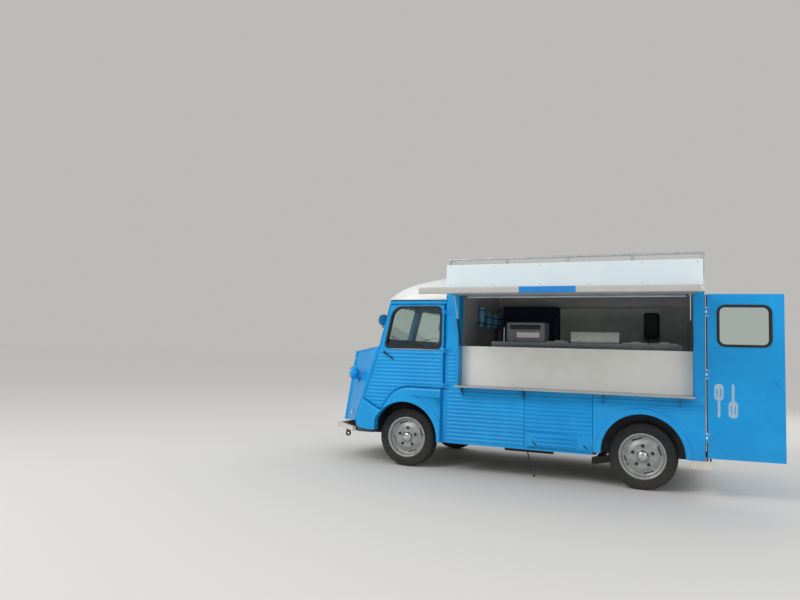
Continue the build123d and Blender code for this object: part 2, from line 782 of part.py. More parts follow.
def bonnet_hinges():
    # Two pin hinges across the rear edge of the bonnet
    x, z = bonnet_rear_x + 4, bonnet_z(bonnet_rear_x) + 9
    fixed, moving = Part(), Part()
    for y in (-420, 420):
        fixed += rod((x, y - 30, z), (x, y + 30, z), 4)
        for y0, y1 in ((y - 30, y - 10), (y + 10, y + 30)):
            fixed += rod((x, y0, z), (x, y1, z), 8)
            fixed += block(bonnet_rear_x - 30, x, y0, y1, z - 7, z - 2)
        knuckle = rod((x, y - 9.5, z), (x, y + 9.5, z), 8) + block(x, x + 26, y - 9.5, y + 9.5, z - 14, z - 4)
        moving += knuckle - rod((x, y - 40, z), (x, y + 40, z), 4 + running_gap)
    return fixed, moving


def bonnet():
    rear, front = bonnet_rear_x, nose_front_x
    lip_skin = nose_frame - 4
    top = outline([(rear, bonnet_z(rear)), (front, bonnet_z(front)),
                   (front, bonnet_z(front) - bonnet_skin), (rear, bonnet_z(rear) - bonnet_skin)])
    lip_z = nose_front_z - bonnet_lip
    lip = outline([(nose_x(lip_z), lip_z), (nose_x(nose_front_z), nose_front_z),
                   (nose_x(nose_front_z) - lip_skin, nose_front_z), (nose_x(lip_z) - lip_skin, lip_z)])
    lid = side_prism(top, -nose_half_width * 2, nose_half_width * 2) & plan_prism(bonnet_plan(2), 1000, 1400)
    lid += side_prism(lip, -nose_half_width + 2, nose_half_width - 2)
    _, moving = bonnet_hinges()
    return joined(lid, moving)


def headlamps():
    x, y, z = lamp_place
    shell = Pos(x, y, z) * (Sphere(lamp_radius) & block(-lamp_radius * 2, 0, -200, 200, -200, 200))
    ring = rod((x, y, z), (x + 22, y, z), lamp_radius)
    lens = Pos(x + 22, y, z) * (Sphere(lamp_radius - 8) & block(0, 200, -200, 200, -200, 200))
    lens = Pos(x + 22, y, z) * scale(Pos(-x - 22, -y, -z) * lens, by=(0.3, 1, 1))
    stalk = rod((x - 40, y - 10, z - 50), (x - 62, y - 170, z - 130), 17)
    return both_sides(joined(shell, ring, lens, stalk) - flank())


def bumpers():
    # The front bar with angled ends, and a short bar behind each rear wheel
    low, high = bumper_height
    corner, end = (Vector(*point) for point in bumper_bar)
    along = (end - corner).normalized()
    inner_end = end + Vector(-along.Y, along.X) * bumper_depth
    inner_corner = inner_end - along * ((inner_end.X - corner.X + bumper_depth) / along.X)
    half = [(point.X, point.Y) for point in (corner, end, inner_end, inner_corner)]
    bar = plan_prism(outline(half + [(x, -y) for x, y in reversed(half)]), low, high)
    x = load_rear_x
    rear = block(x - 72, x + 132, inner_y + 2, half_width + 35, 270, 340)
    rear = fillet(rear.edges().filter_by(Axis.Z), 16)
    rear_stay = block(x + 10, x + 70, inner_y - 114, inner_y + 6, 285, sill_bottom)
    bar += tow_eye("front", 24, 24, low)
    return joined(bar, both_sides(rear + rear_stay), tow_eye("rear", 10, 76, sill_bottom))


def tow_eye(end, behind, before, top):
    # A ring on a plate that reaches up to what carries it
    x, y, z = tow_eyes[end]
    radius, half = tow_ring
    ring = rod((x, y - half, z), (x, y + half, z), radius)
    plate = block(x - behind, x + before, y - half, y + half, z + 10, top)
    return ring + plate - rod((x, y - 30, z), (x, y + 30, z), tow_eye_radius)


def mirrors():
    # A round mirror on a stem in front of each windscreen pillar
    foot = Vector(cab_front_x(1545), half_width - 32, 1545)
    centre, facing = foot + Vector(38, -33, 87), Vector(0.85, -0.53, 0)
    pad = rod(tuple(foot - Vector(8, 0, 0)), tuple(foot + Vector(8, 0, 0)), 11)
    stem = rod(tuple(foot), tuple(centre - Vector(0, 0, 60)), 5)
    head = rod(tuple(centre - facing * 8), tuple(centre + facing * 8), 66)
    pillars = lean_slab(0, 100, (1300, screen_sill_z, 1700), half_width)
    return both_sides(pad + stem + head - pillars)


def seats():
    # A cushion with its backrest for the driver and for the passenger
    low, high = wheelhouse_top, wheelhouse_top + 110
    x = cab_door_rear_x
    corners = [(x, low, 30), (x + 500, low, 40), (x + 500, high, 40), (x + 120, high, 20),
               (x + 90, low + 540, 35), (x, low + 540, 35)]
    return both_sides(side_prism(shaped(corners), half_width - 570, half_width - 100))


def engine_cover():
    skin, half, high = 12, 305, 1020
    def hump(inset):
        foot_x = cab_front_x(520) - pillar_width - 4
        rear_x = front_axle_x + 80 + inset
        face = outline([(rear_x, floor_top), (foot_x, floor_top), (foot_x, 520),
                        (cab_front_x(high) - 60, high - inset), (rear_x, high - inset)])
        return side_prism(face, inset - half, half - inset)
    opening = block(front_axle_x + 200, nose_front_x, skin - half, half - skin, floor_top, high - skin)
    return hump(0) - hump(skin) - opening


def steering_wheel():
    plane = Plane(origin=tuple(wheel_hub), z_dir=column_axis)
    ring = Solid.make_torus(205, 12, plane)
    hub = rod(tuple(wheel_hub - column_axis * 39.7), tuple(wheel_hub + column_axis * 14), 34)
    spokes = Part()
    for i in range(3):
        angle = math.radians(90 + 120 * i)
        tip = plane.from_local_coords(Vector(205 * math.cos(angle), 205 * math.sin(angle), 0))
        spokes += rod(tuple(wheel_hub), tuple(tip), 8)
    return joined(ring, hub, spokes)


# Serving side

def shelf():
    y0 = board_y - board_thickness
    z0 = shelf_z - shelf_thickness
    inside = block(hatch_rear_x - 15, post_rear_x - 2, y0, half_width + 8, z0, shelf_z)
    outside = block(hatch_rear_x - 15, shelf_front_x, half_width + 8, shelf_out_y, z0, shelf_z)
    edge = block(hatch_rear_x - 15, shelf_front_x, shelf_out_y, shelf_out_y + 6, z0 - 4, shelf_z)
    whole = inside + outside + edge
    for x in (shelf_front_x - 58, -100, -900, hatch_rear_x + 110):
        y = half_width + rib_height + 1
        bracket = outline([(y, z0), (shelf_out_y - 20, z0), (y, z0 - 100)])
        whole += cross_prism(bracket, x, x + 8)
    return whole


def counter():
    # White front board, its top, and the cold cabinet behind it
    x0, x1 = hatch_rear_x + 2, hatch_front_x - 2
    board = block(x0, x1, board_y - board_thickness, board_y, shelf_z, board_top_z)
    top = block(x0, x1, 670, board_y, board_top_z - board_thickness, board_top_z)
    cabinet = block(hatch_rear_x + 110, hatch_front_x - 278, 250, 675, floor_top, 1420)
    doors = Part()
    for i in range(4):
        x = hatch_rear_x + 150 + 480 * i
        doors += block(x, x + 440, 242, 250, 460, 1200)
    return joined(board, top, cabinet, doors)


worktop_z = 1300


def back_units():
    # Base cupboards along the right-hand wall, the steel sheet above them and a tall cupboard
    rear, front, back = load_rear_x + 110, partition_x - 96, -inner_y
    base = block(rear, front, back + 20, back + 464, floor_top, worktop_z - 30)
    x = arch_x["rear"]
    reach = rear_house[1] + 5
    base -= block(x - reach, x + reach, -inner_y, 5 - rear_house[0], 0, wheelhouse_top + 5)
    worktop = block(rear, front, back, back + 484, worktop_z - 30, worktop_z)
    sheet = block(rear, front - 750, back, back + 14, worktop_z, eaves_z - 40)
    cupboard = block(front - 750, front - 80, back, back + 364, worktop_z, eaves_z - 30)
    return joined(base, worktop, sheet, cupboard)


# Each tube of paper cups on the partition: Y of its middle, Z of its top
cup_tubes = [(20, 1853), (-278, 1790), (-560, 1790), (-835, 1790)]


def fittings():
    # A machine on the cabinet, a dispenser on the far wall, cup tubes on the partition and a light
    machine = fillet(block(-215, 215, 300, 560, 1420, 1640).edges().filter_by(Axis.Y), 18)
    wall_y = 14 - inner_y
    dispenser = fillet(block(-1325, -1145, wall_y, wall_y + 120, 1528, 1840).edges().filter_by(Axis.Y), 40)
    x1 = partition_x - partition_thickness
    low = 1610
    tubes = []
    for y, top in cup_tubes:
        tubes.append(rod((x1 - 48, y, low), (x1 - 48, y, top), 44))
        tubes.append(block(x1 - 12, x1, y - 12, y + 12, low + 30, top - 30))
    x0, x1 = hatch_rear_x + 60, hatch_front_x - 60
    light = block(x0, x1, board_y + 12, board_y + 62, hatch_top_z - 24, hatch_top_z)
    return joined(machine, dispenser, light, *tubes)


def flap_axis():
    return Axis((0, flap_hinge[0], flap_hinge[1]), (1, 0, 0))


def flap_hinges():
    y, z = flap_hinge
    fixed, moving = Part(), Part()
    for x in (flap_rear_x + 270, -550, flap_front_x - 265):
        fixed += rod((x - 45, y, z), (x + 45, y, z), 3)
        for x0, x1 in ((x - 45, x - 15), (x + 15, x + 45)):
            fixed += rod((x0, y, z), (x1, y, z), 6)
            fixed += block(x0, x1, inner_y + 6, y, z - 6, z)
        half = 14.5
        knuckle = rod((x - half, y, z), (x + half, y, z), 6)
        knuckle += block(x - half, x + half, y - 2, y + 10, z - 20, z)
        moving += knuckle - rod((x - 60, y, z), (x + 60, y, z), 3 + running_gap)
    return fixed, moving


def flap():
    # Built shut against the body side, then turned up about its hinge
    y0 = half_width + flap_inset
    high = flap_hinge[1] - 12
    low = flap_hinge[1] - flap_length
    shell = block(flap_rear_x, flap_front_x, y0, y0 + flap_thickness, low, high)
    shell = fillet(shell.edges().filter_by(Axis.X), 14)
    _, moving = flap_hinges()
    pin_y, pin_z = strut_pin_shut()
    ears = Part()
    for x in strut_places():
        ears += rod((x - 14, pin_y, pin_z), (x + 14, pin_y, pin_z), 4)
        for x0 in (x - 14, x + 8):
            ears += block(x0, x0 + 6, pin_y - 8, y0 + 1, pin_z - 8, pin_z + 8)
    return (shell + moving + ears).rotate(flap_axis(), flap_open)


def strut_places():
    return (hatch_rear_x + strut_inset, hatch_front_x - strut_inset)


def strut_pin_shut():
    return (strut_foot[0], flap_hinge[1] - strut_arm)


def strut_pin_open():
    y, z = flap_hinge
    dy, dz = strut_pin_shut()[0] - y, strut_pin_shut()[1] - z
    turn = math.radians(flap_open)
    return (y + dy * math.cos(turn) - dz * math.sin(turn), z + dy * math.sin(turn) + dz * math.cos(turn))


def strut_feet():
    y, z = strut_foot
    feet = Part()
    for x, side in zip(strut_places(), (-1, 1)):
        far = x + side * (strut_inset + 4)
        feet += rod((min(x, far) - 6 * (side > 0), y, z), (max(x, far) + 6 * (side < 0), y, z), 5)
    return feet


def strut_line():
    # The foot, and the direction from it to the pin on the open flap
    foot, pin = Vector(0, *strut_foot), Vector(0, *strut_pin_open())
    return foot, (pin - foot).normalized(), (pin - foot).length


def strut_tubes():
    foot, along, _ = strut_line()
    whole = Part()
    for x in strut_places():
        at = foot + Vector(x, 0, 0)
        tube = rod(tuple(at + along * 14), tuple(at + along * strut_tube_length), strut_radius)
        tube -= rod(tuple(at + along * 26), tuple(at + along * 400), strut_rod_radius + 0.1)
        eye = rod((x - 7, at.Y, at.Z), (x + 7, at.Y, at.Z), 12) + rod(tuple(at), tuple(at + along * 20), 6)
        whole += tube + eye - rod((x - 20, at.Y, at.Z), (x + 20, at.Y, at.Z), 5.1)
    return whole


def strut_rods():
    foot, along, length = strut_line()
    shut = strut_pin_shut()[1] - strut_foot[1]
    inner_end = length - (shut - 32)
    whole = Part()
    for x in strut_places():
        at = foot + Vector(x, 0, 0)
        pin = at + along * length
        shank = rod(tuple(at + along * inner_end), tuple(at + along * (length - 8)), strut_rod_radius)
        eye = rod((x - 6, pin.Y, pin.Z), (x + 6, pin.Y, pin.Z), 10)
        whole += shank + eye - rod((x - 20, pin.Y, pin.Z), (x + 20, pin.Y, pin.Z), 4.4)
    return whole


rear_hinge_spans = ((520, 590), (1110, 1180), (1700, 1770))


def rear_hinges(spans):
    # In the door's shut place
    x, y = rear_hinge
    return hinge((x, y), spans, (x, load_rear_x + 5, y - 4, y + 4), (x - 9, x - 4, y - 50, y))


def rear_window(trim):
    # Drawn in the shut door's own Y and Z
    y1 = rear_hinge[1]
    near, far, low, high = y1 - 86 - trim, y1 - 523 + trim, 1420 + trim, 1788 - trim
    return outline([(near, low), (near, high), (far, high), (far, low)], 60)


def rear_axis():
    return Axis((rear_hinge[0], rear_hinge[1], 0), (0, 0, 1))


def rear_door():
    x0 = load_rear_x - rear_door_gap - rear_door_thickness
    x1, y1 = x0 + rear_door_thickness, rear_hinge[1] + rear_door_overlap
    leaf = block(x0, x1, y1 - rear_door_width, y1, rear_door_bottom, rear_door_top)
    leaf = fillet(leaf.edges().filter_by(Axis.X), 8)
    leaf -= cross_prism(rear_window(0), x0 - 50, x1 + 50)
    for low, high in rear_hinge_spans:
        leaf -= block(x0 - 5, x1 + 5, rear_hinge[1] - 13, y1 + 5, low - 4, high + 4)
    _, moving = rear_hinges(rear_hinge_spans)
    knob = rod((x0 - 24, y1 - rear_door_width + 60, 1090), (x0, y1 - rear_door_width + 60, 1090), 16)
    return joined(leaf, moving, knob).rotate(rear_axis(), -rear_door_open)


def rear_glass():
    x = load_rear_x - rear_door_gap - rear_door_thickness / 2
    return cross_prism(rear_window(0.3), x - 2.5, x + 2.5).rotate(rear_axis(), -rear_door_open)


def under_roof():
    return cross_prism(roof_face(half_width, eaves_z, roof_rise), load_rear_x - 10, load_front_x + 10)


def sign_board():
    # A plain board along the left edge of the roof, on six feet
    whole = block(sign_rear_x, sign_front_x, half_width - 12, half_width + 6, sign_low_z, sign_high_z)
    feet = 6
    pitch = (load_front_x - 90 - load_rear_x - 60) / (feet - 1)
    for i in range(feet):
        x = load_rear_x + 60 + i * pitch
        whole += block(x, x + 30, half_width - 24, half_width - 10, eaves_z, sign_high_z - 30)
    return whole - under_roof()


def roof_rail():
    y, z, r = rail_tube_y, rail_tube_z, rail_tube_radius
    x0, x1 = load_rear_x + 14, load_front_x - 20
    whole = joined(rod((x0, y, z), (x1, y, z), r), rod((x0, -y, z), (x1, -y, z), r))
    whole += rod((x0, -y, z), (x0, y, z), r) + rod((x1, -y, z), (x1, y, z), r)
    for x in [x0 + (x1 - x0) * i / 4 for i in range(5)]:
        for side in (-1, 1):
            whole += rod((x, side * y, z - 246), (x, side * y, z), r)
            whole += Pos(x, side * y, z) * Sphere(r)
    return whole - under_roof()


def tail_lamps():
    y, z = half_width - 75, 348
    lamp = rod((load_rear_x - 30, y, z), (load_rear_x, y, z), 18)
    return both_sides(lamp)


parts = {
    "platform": platform(),
    "wheelhouses": wheelhouses(),
    "front_cradle": front_cradle(),
    "rear_axle": rear_axle(),
    "engine_block": engine_block(),
    "exhaust": exhaust(),
    "fuel_tank": fuel_tank(),
    "prop_stay": prop_stay(),
    "side_panels": side_panels(),
    "rear_wings": rear_wings(),
    "body_posts": body_posts(),
    "hatch_frame": hatch_frame(),
    "side_wall_right": side_wall_right(),
    "rear_frame": rear_frame(),
    "load_roof": load_roof(),
    "partition": partition(),
    "cab_roof": cab_roof(),
    "scuttle": scuttle(),
    "windscreen": windscreen(),
    "front_wings": front_wings(),
    "nose_sides": nose_sides(),
    "nose_front": nose_front(),
    "bonnet": bonnet(),
    "headlamps": headlamps(),
    "bumpers": bumpers(),
    "mirrors": mirrors(),
    "tail_lamps": tail_lamps(),
    "seats": seats(),
    "engine_cover": engine_cover(),
    "steering_wheel": steering_wheel(),
    "shelf": shelf(),
    "counter": counter(),
    "back_units": back_units(),
    "fittings": fittings(),
    "hatch_flap": flap(),
    "strut_tubes": strut_tubes(),
    "strut_rods": strut_rods(),
    "rear_door": rear_door(),
    "rear_door_glass": rear_glass(),
    "sign_board": sign_board(),
    "roof_rail": roof_rail(),
}

left_door, left_glass, left_knuckle = cab_door(), door_glass(), knuckle()
parts |= {
    "cab_door_left": left_door,
    "cab_door_right": other_side(left_door),
    "cab_glass_left": left_glass,
    "cab_glass_right": other_side(left_glass),
    "knuckle_left": left_knuckle,
    "knuckle_right": other_side(left_knuckle),
}

wheel_places = {"front": front_axle_x, "rear": rear_axle_x}
for axle, x in wheel_places.items():
    place = Pos(x, wheel_y, tyre_radius)
    for name, piece in (("tyre", place * tyre()), ("rim", place * rim())):
        parts[f"{name}_{axle}_left"] = piece
        parts[f"{name}_{axle}_right"] = other_side(piece)

os.makedirs("parts", exist_ok=True)
for name, shape in parts.items():
    export_step(shape, f"parts/{name}.step")
print(len(parts), "parts")
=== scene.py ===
import json
import math

import bmesh
import bpy
from mathutils import Matrix, Vector


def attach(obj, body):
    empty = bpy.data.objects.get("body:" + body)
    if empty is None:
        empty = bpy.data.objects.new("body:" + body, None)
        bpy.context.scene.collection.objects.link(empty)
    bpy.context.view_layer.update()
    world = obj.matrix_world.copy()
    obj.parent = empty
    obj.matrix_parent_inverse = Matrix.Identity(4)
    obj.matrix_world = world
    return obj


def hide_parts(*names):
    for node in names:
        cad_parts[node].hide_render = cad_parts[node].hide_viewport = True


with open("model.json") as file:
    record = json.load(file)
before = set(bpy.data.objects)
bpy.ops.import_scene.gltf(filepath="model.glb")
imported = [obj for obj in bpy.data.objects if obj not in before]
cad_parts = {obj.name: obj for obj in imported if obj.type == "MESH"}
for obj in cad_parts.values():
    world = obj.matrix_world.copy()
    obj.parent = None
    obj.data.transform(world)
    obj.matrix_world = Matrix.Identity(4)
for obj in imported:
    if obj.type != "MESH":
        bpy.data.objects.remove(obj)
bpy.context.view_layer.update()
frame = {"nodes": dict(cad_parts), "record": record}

nodes = frame["nodes"]


# Colours, nodes, meshes and objects

def hexColour(code):
    channels = [int(code[i:i + 2], 16) / 255 for i in (1, 3, 5)]
    linear = [c / 12.92 if c <= 0.04045 else ((c + 0.055) / 1.055) ** 2.4 for c in channels]
    return (*linear, 1.0)


def addNode(tree, kind, settings=None, values=None, links=None):
    node = tree.nodes.new("ShaderNode" + kind)
    for key, value in (settings or {}).items():
        setattr(node, key, value)
    for key, value in (values or {}).items():
        node.inputs[key].default_value = value
    for key, source in (links or {}).items():
        tree.links.new(source, node.inputs[key])
    return node


def addNoise(tree, place, values):
    return addNode(tree, "TexNoise", values=values, links={"Vector": place}).outputs["Fac"]


def addRange(tree, value, values):
    return addNode(tree, "MapRange", values=values, links={"Value": value}).outputs["Result"]


def emptyTree(owner):
    owner.use_nodes = True
    owner.node_tree.nodes.clear()
    return owner.node_tree


def meshFrom(name, bm):
    mesh = bpy.data.meshes.new(name)
    bm.to_mesh(mesh)
    bm.free()
    return mesh


def newObject(name, data):
    made = bpy.data.objects.new(name, data)
    bpy.context.scene.collection.objects.link(made)
    return made


# Camera, where the photographer stood

cameraLook = {
    "place": (-1.732, 7.981, 1.272),
    "turn": 23.71,  # degrees towards the nose
    "tilt": 4.40,
    "roll": 1.65,
    "lens": 30.39,
    "sensor": 36.0,
}


def makeCamera(look):
    turn, tilt, roll = (math.radians(look[key]) for key in ("turn", "tilt", "roll"))
    level = Vector((math.sin(turn), -math.cos(turn), 0))
    side = Vector((-math.cos(turn), -math.sin(turn), 0))
    ahead = math.cos(tilt) * level + math.sin(tilt) * Vector((0, 0, 1))
    above = -math.sin(tilt) * level + math.cos(tilt) * Vector((0, 0, 1))
    right = math.cos(roll) * side + math.sin(roll) * above
    up = -math.sin(roll) * side + math.cos(roll) * above
    data = bpy.data.cameras.new("photoCamera")
    data.lens = look["lens"]
    data.sensor_width = look["sensor"]
    camera = newObject("photoCamera", data)
    columns = Matrix((right, up, -ahead)).transposed().to_4x4()
    camera.matrix_world = Matrix.Translation(look["place"]) @ columns
    bpy.context.scene.camera = camera


makeCamera(cameraLook)
print("camera placed")


# Finishes. Sizes are real ones, in millimetres.

finishes = {
    # brushed-on coach enamel over rolled sheet: soft gloss, faint waves, road dust low down
    "blueEnamel": {
        "base": "#0696DC", "patch": "#0EA0E5", "patchSize": 420, "rough": 0.34, "specular": 0.3,
        "dust": "#4C8099", "dustTop": 0.75, "dustAmount": 0.30, "grain": 14, "grainDepth": 0.5,
        "chip": "#0F4E88", "chipSize": 11,
    },
    # the same paint on the wings, which are sprayed and smoother
    "wingEnamel": {
        "base": "#0898DF", "patch": "#10A3E8", "patchSize": 380, "rough": 0.30, "specular": 0.35,
        "dust": "#4F8299", "dustTop": 0.60, "dustAmount": 0.40, "grain": 18, "grainDepth": 0.4,
        "chip": "#0F4E88", "chipSize": 11,
    },
    # white roof enamel, chalky from the sun, with leaf stains
    "whiteEnamel": {
        "base": "#E9EBEA", "patch": "#DEE0DC", "patchSize": 300, "rough": 0.42, "coat": 0.1,
        "dust": "#B7B29F", "dustTop": 2.6, "dustAmount": 0.12, "grain": 16, "grainDepth": 0.5,
        "chip": "#A9A08A", "chipSize": 16,
    },
    # cream enamel of the bumpers, chipped at the edges
    "creamEnamel": {
        "base": "#E4DFD3", "patch": "#D8D2C4", "patchSize": 160, "rough": 0.4, "coat": 0.15,
        "dust": "#8B8270", "dustTop": 0.9, "dustAmount": 0.45, "grain": 10, "grainDepth": 0.4,
        "chip": "#7E7466", "chipSize": 12,
    },
    # composite sign board with a cool white film
    "signFilm": {
        "base": "#E4F0F4", "patch": "#DCEAF0", "patchSize": 500, "rough": 0.34, "coat": 0.1,
        "grain": 30, "grainDepth": 0.2, "chip": "#C4D3DA", "chipSize": 14,
    },
    # lacquered white board of the counter
    "counterLacquer": {
        "base": "#E9E8E3", "patch": "#E2E1DB", "patchSize": 260, "rough": 0.25, "coat": 0.3,
        "grain": 40, "grainDepth": 0.2, "chip": "#CFCDC4", "chipSize": 12,
    },
    # anodised aluminium, brushed along the truck
    "brushedAluminium": {
        "base": "#C2C7CB", "patch": "#B0B6BB", "patchSize": 240, "rough": 0.34, "metallic": 1.0,
        "grain": 1.6, "grainDepth": 0.15, "stretch": (0.02, 1, 1),
    },
    # stainless sheet, brushed upright, slightly wavy
    "stainlessSheet": {
        "base": "#C4C7C2", "patch": "#B2B6AF", "patchSize": 180, "rough": 0.34, "metallic": 0.6,
        "grain": 2.4, "grainDepth": 0.2, "stretch": (1, 1, 0.03),
    },
    # zinc-plated steel tube, dull
    "galvanisedTube": {
        "base": "#C9CDCE", "patch": "#AEB4B6", "patchSize": 40, "rough": 0.45, "metallic": 0.7,
        "grain": 6, "grainDepth": 0.2,
    },
    # wheel paint over pressed steel, with brake dust
    "wheelPaint": {
        "base": "#B4B7B7", "patch": "#9A9D9C", "patchSize": 60, "rough": 0.42, "metallic": 0.35,
        "dust": "#6E675C", "dustTop": 0.75, "dustAmount": 0.5, "grain": 9, "grainDepth": 0.3,
        "chip": "#5E5C57", "chipSize": 8,
    },
    # plated trim, bright with fine pits
    "chromePlate": {
        "base": "#D6D8DA", "patch": "#C6C9CC", "patchSize": 50, "rough": 0.12, "metallic": 1.0,
        "grain": 5, "grainDepth": 0.05,
    },
    # tyre rubber, matt, greyer where dust sits in it
    "tyreRubber": {
        "base": "#1B1B1C", "patch": "#29292A", "patchSize": 50, "rough": 0.82,
        "dust": "#4B4740", "dustTop": 0.5, "dustAmount": 0.55, "grain": 3, "grainDepth": 0.35,
    },
    # extruded rubber for window seals, satin black
    "sealRubber": {
        "base": "#151517", "patch": "#202124", "patchSize": 60, "rough": 0.55,
        "grain": 3, "grainDepth": 0.15,
    },
    # chassis paint under road dirt
    "chassisPaint": {
        "base": "#1C1D1F", "patch": "#2A2825", "patchSize": 90, "rough": 0.62,
        "dust": "#57503F", "dustTop": 0.8, "dustAmount": 0.5, "grain": 8, "grainDepth": 0.6,
    },
    # floor and sill paint, grey
    "floorPaint": {
        "base": "#4A4E52", "patch": "#3F4347", "patchSize": 150, "rough": 0.6,
        "dust": "#6A6255", "dustTop": 0.8, "dustAmount": 0.4, "grain": 10, "grainDepth": 0.5,
    },
    # bare exhaust steel with heat stain and rust
    "exhaustSteel": {
        "base": "#7A7268", "patch": "#8A5C3A", "patchSize": 70, "rough": 0.55, "metallic": 0.6,
        "grain": 5, "grainDepth": 0.4,
    },
    # rough cast iron
    "castIron": {
        "base": "#3A3C3D", "patch": "#4A4741", "patchSize": 60, "rough": 0.7, "metallic": 0.3,
        "grain": 4, "grainDepth": 0.8,
    },
    # moulded black plastic with a fine leather-like grain
    "mouldedPlastic": {
        "base": "#1D1E20", "patch": "#25262A", "patchSize": 80, "rough": 0.5,
        "grain": 2.2, "grainDepth": 0.3,
    },
    # seat vinyl, dark, softly glossy where it is worn
    "seatVinyl": {
        "base": "#26272B", "patch": "#33343A", "patchSize": 120, "rough": 0.48,
        "grain": 2.6, "grainDepth": 0.5,
    },
    # powder-coated sheet of the inside units, dark navy
    "navyPowder": {
        "base": "#14243F", "patch": "#182B4B", "patchSize": 200, "rough": 0.45,
        "grain": 2, "grainDepth": 0.2,
    },
    # laminate of the cold cabinet and the machine, mid grey
    "greyLaminate": {
        "base": "#868B8C", "patch": "#7C8182", "patchSize": 160, "rough": 0.38,
        "grain": 3, "grainDepth": 0.15, "chip": "#5F6364", "chipSize": 9,
    },
    # melamine-faced panel, pale grey
    "paleMelamine": {
        "base": "#C9CBC9", "patch": "#BFC2C0", "patchSize": 220, "rough": 0.4,
        "grain": 3, "grainDepth": 0.1,
    },
    # blue polystyrene of the cup tubes
    "cupPlastic": {
        "base": "#6CC6EE", "patch": "#80D0F2", "patchSize": 60, "rough": 0.35, "coat": 0.2,
        "grain": 8, "grainDepth": 0.1,
    },
    # opal acrylic of lamps and of the machine's tray
    "opalAcrylic": {
        "base": "#E6E6E0", "patch": "#DCDCD4", "patchSize": 60, "rough": 0.3, "coat": 0.3,
        "grain": 6, "grainDepth": 0.1,
    },
    # silvered mirror glass, almost clean
    "mirrorGlass": {
        "base": "#CDD3D6", "patch": "#BFC6CA", "patchSize": 60, "rough": 0.08, "metallic": 1.0,
        "grain": 30, "grainDepth": 0.02,
    },
    # red lamp lens
    "redLens": {
        "base": "#9C1A16", "patch": "#B0251D", "patchSize": 20, "rough": 0.2, "coat": 0.5,
        "grain": 4, "grainDepth": 0.3,
    },
    # silver-grey vinyl film, cut to shape
    "silverFilm": {
        "base": "#A9C4DA", "patch": "#9BB8D0", "patchSize": 80, "rough": 0.4,
        "grain": 12, "grainDepth": 0.1,
    },
    # blue vinyl film on the flap's edge
    "blueFilm": {
        "base": "#127FCE", "patch": "#1A89D6", "patchSize": 120, "rough": 0.35,
        "grain": 12, "grainDepth": 0.1,
    },
    # grey paint of the flap's frame
    "flapPaint": {
        "base": "#BFBFBD", "patch": "#B7B6B3", "patchSize": 240, "rough": 0.45,
        "grain": 10, "grainDepth": 0.3, "chip": "#8F8B83", "chipSize": 12,
    },
}

# How every finish mixes its layers: the noise values between which a mask fades in, and each noise
layerLook = {
    "patchNoise": {"Detail": 4, "Roughness": 0.6}, "patchMask": {"From Min": 0.38, "From Max": 0.64},
    "chipMask": {"From Min": 0.735, "From Max": 0.76, "To Max": 0.7},
    "dustNoise": {"Scale": 7.0, "Detail": 6, "Roughness": 0.7}, "dustFoot": 0.1,
    "reliefStrength": 0.35, "smoother": 0.06, "rougher": 0.08,
}
materials = {}


def makeFinish(name, look, layers):
    material = bpy.data.materials.new(name)
    tree = emptyTree(material)
    place = addNode(tree, "TexCoord").outputs["Object"]
    stretched = addNode(tree, "Mapping", values={"Scale": look.get("stretch", (1, 1, 1))},
                        links={"Vector": place}).outputs["Vector"]
    patches = addNoise(tree, place, {"Scale": 1000 / look["patchSize"], **layers["patchNoise"]})
    patchMask = addRange(tree, patches, layers["patchMask"])
    colour = addNode(tree, "Mix", {"data_type": "RGBA"},
                     {"A": hexColour(look["base"]), "B": hexColour(look["patch"])},
                     {"Factor": patchMask}).outputs["Result"]
    if "chip" in look:
        chips = addNoise(tree, place, {"Scale": 1000 / look["chipSize"], "Detail": 2})
        chipMask = addRange(tree, chips, layers["chipMask"])
        colour = addNode(tree, "Mix", {"data_type": "RGBA"}, {"B": hexColour(look["chip"])},
                         {"Factor": chipMask, "A": colour}).outputs["Result"]
    if "dust" in look:
        height = addNode(tree, "SeparateXYZ", links={"Vector": place}).outputs["Z"]
        low = addRange(tree, height, {"From Min": look["dustTop"], "From Max": layers["dustFoot"],
                                      "To Max": look["dustAmount"]})
        cloud = addNoise(tree, place, layers["dustNoise"])
        dustMask = addNode(tree, "Math", {"operation": "MULTIPLY"}, links={0: low, 1: cloud})
        colour = addNode(tree, "Mix", {"data_type": "RGBA"}, {"B": hexColour(look["dust"])},
                         {"Factor": dustMask.outputs["Value"], "A": colour}).outputs["Result"]
    grain = addNoise(tree, stretched, {"Scale": 1000 / look["grain"], "Detail": 3})
    relief = addNode(tree, "Bump",
                     values={"Strength": layers["reliefStrength"], "Distance": look["grainDepth"] / 1000},
                     links={"Height": grain})
    rough = addRange(tree, patches, {"To Min": look["rough"] - layers["smoother"],
                                     "To Max": look["rough"] + layers["rougher"]})
    shader = addNode(tree, "BsdfPrincipled",
                     values={"Metallic": look.get("metallic", 0.0), "Coat Weight": look.get("coat", 0.0),
                             "Specular IOR Level": look.get("specular", 0.5)},
                     links={"Base Color": colour, "Roughness": rough,
                            "Normal": relief.outputs["Normal"]})
    addNode(tree, "OutputMaterial", links={"Surface": shader.outputs["BSDF"]})
    materials[name] = material


for finishName, finishLook in finishes.items():
    makeFinish(finishName, finishLook, layerLook)


# Window glass: soda-lime, slightly green, with a breath of dust that dulls it

glassLook = {"tint": "#DCE8E4", "rough": 0.02, "dustyRough": 0.07, "ior": 1.45, "dustSize": 90}


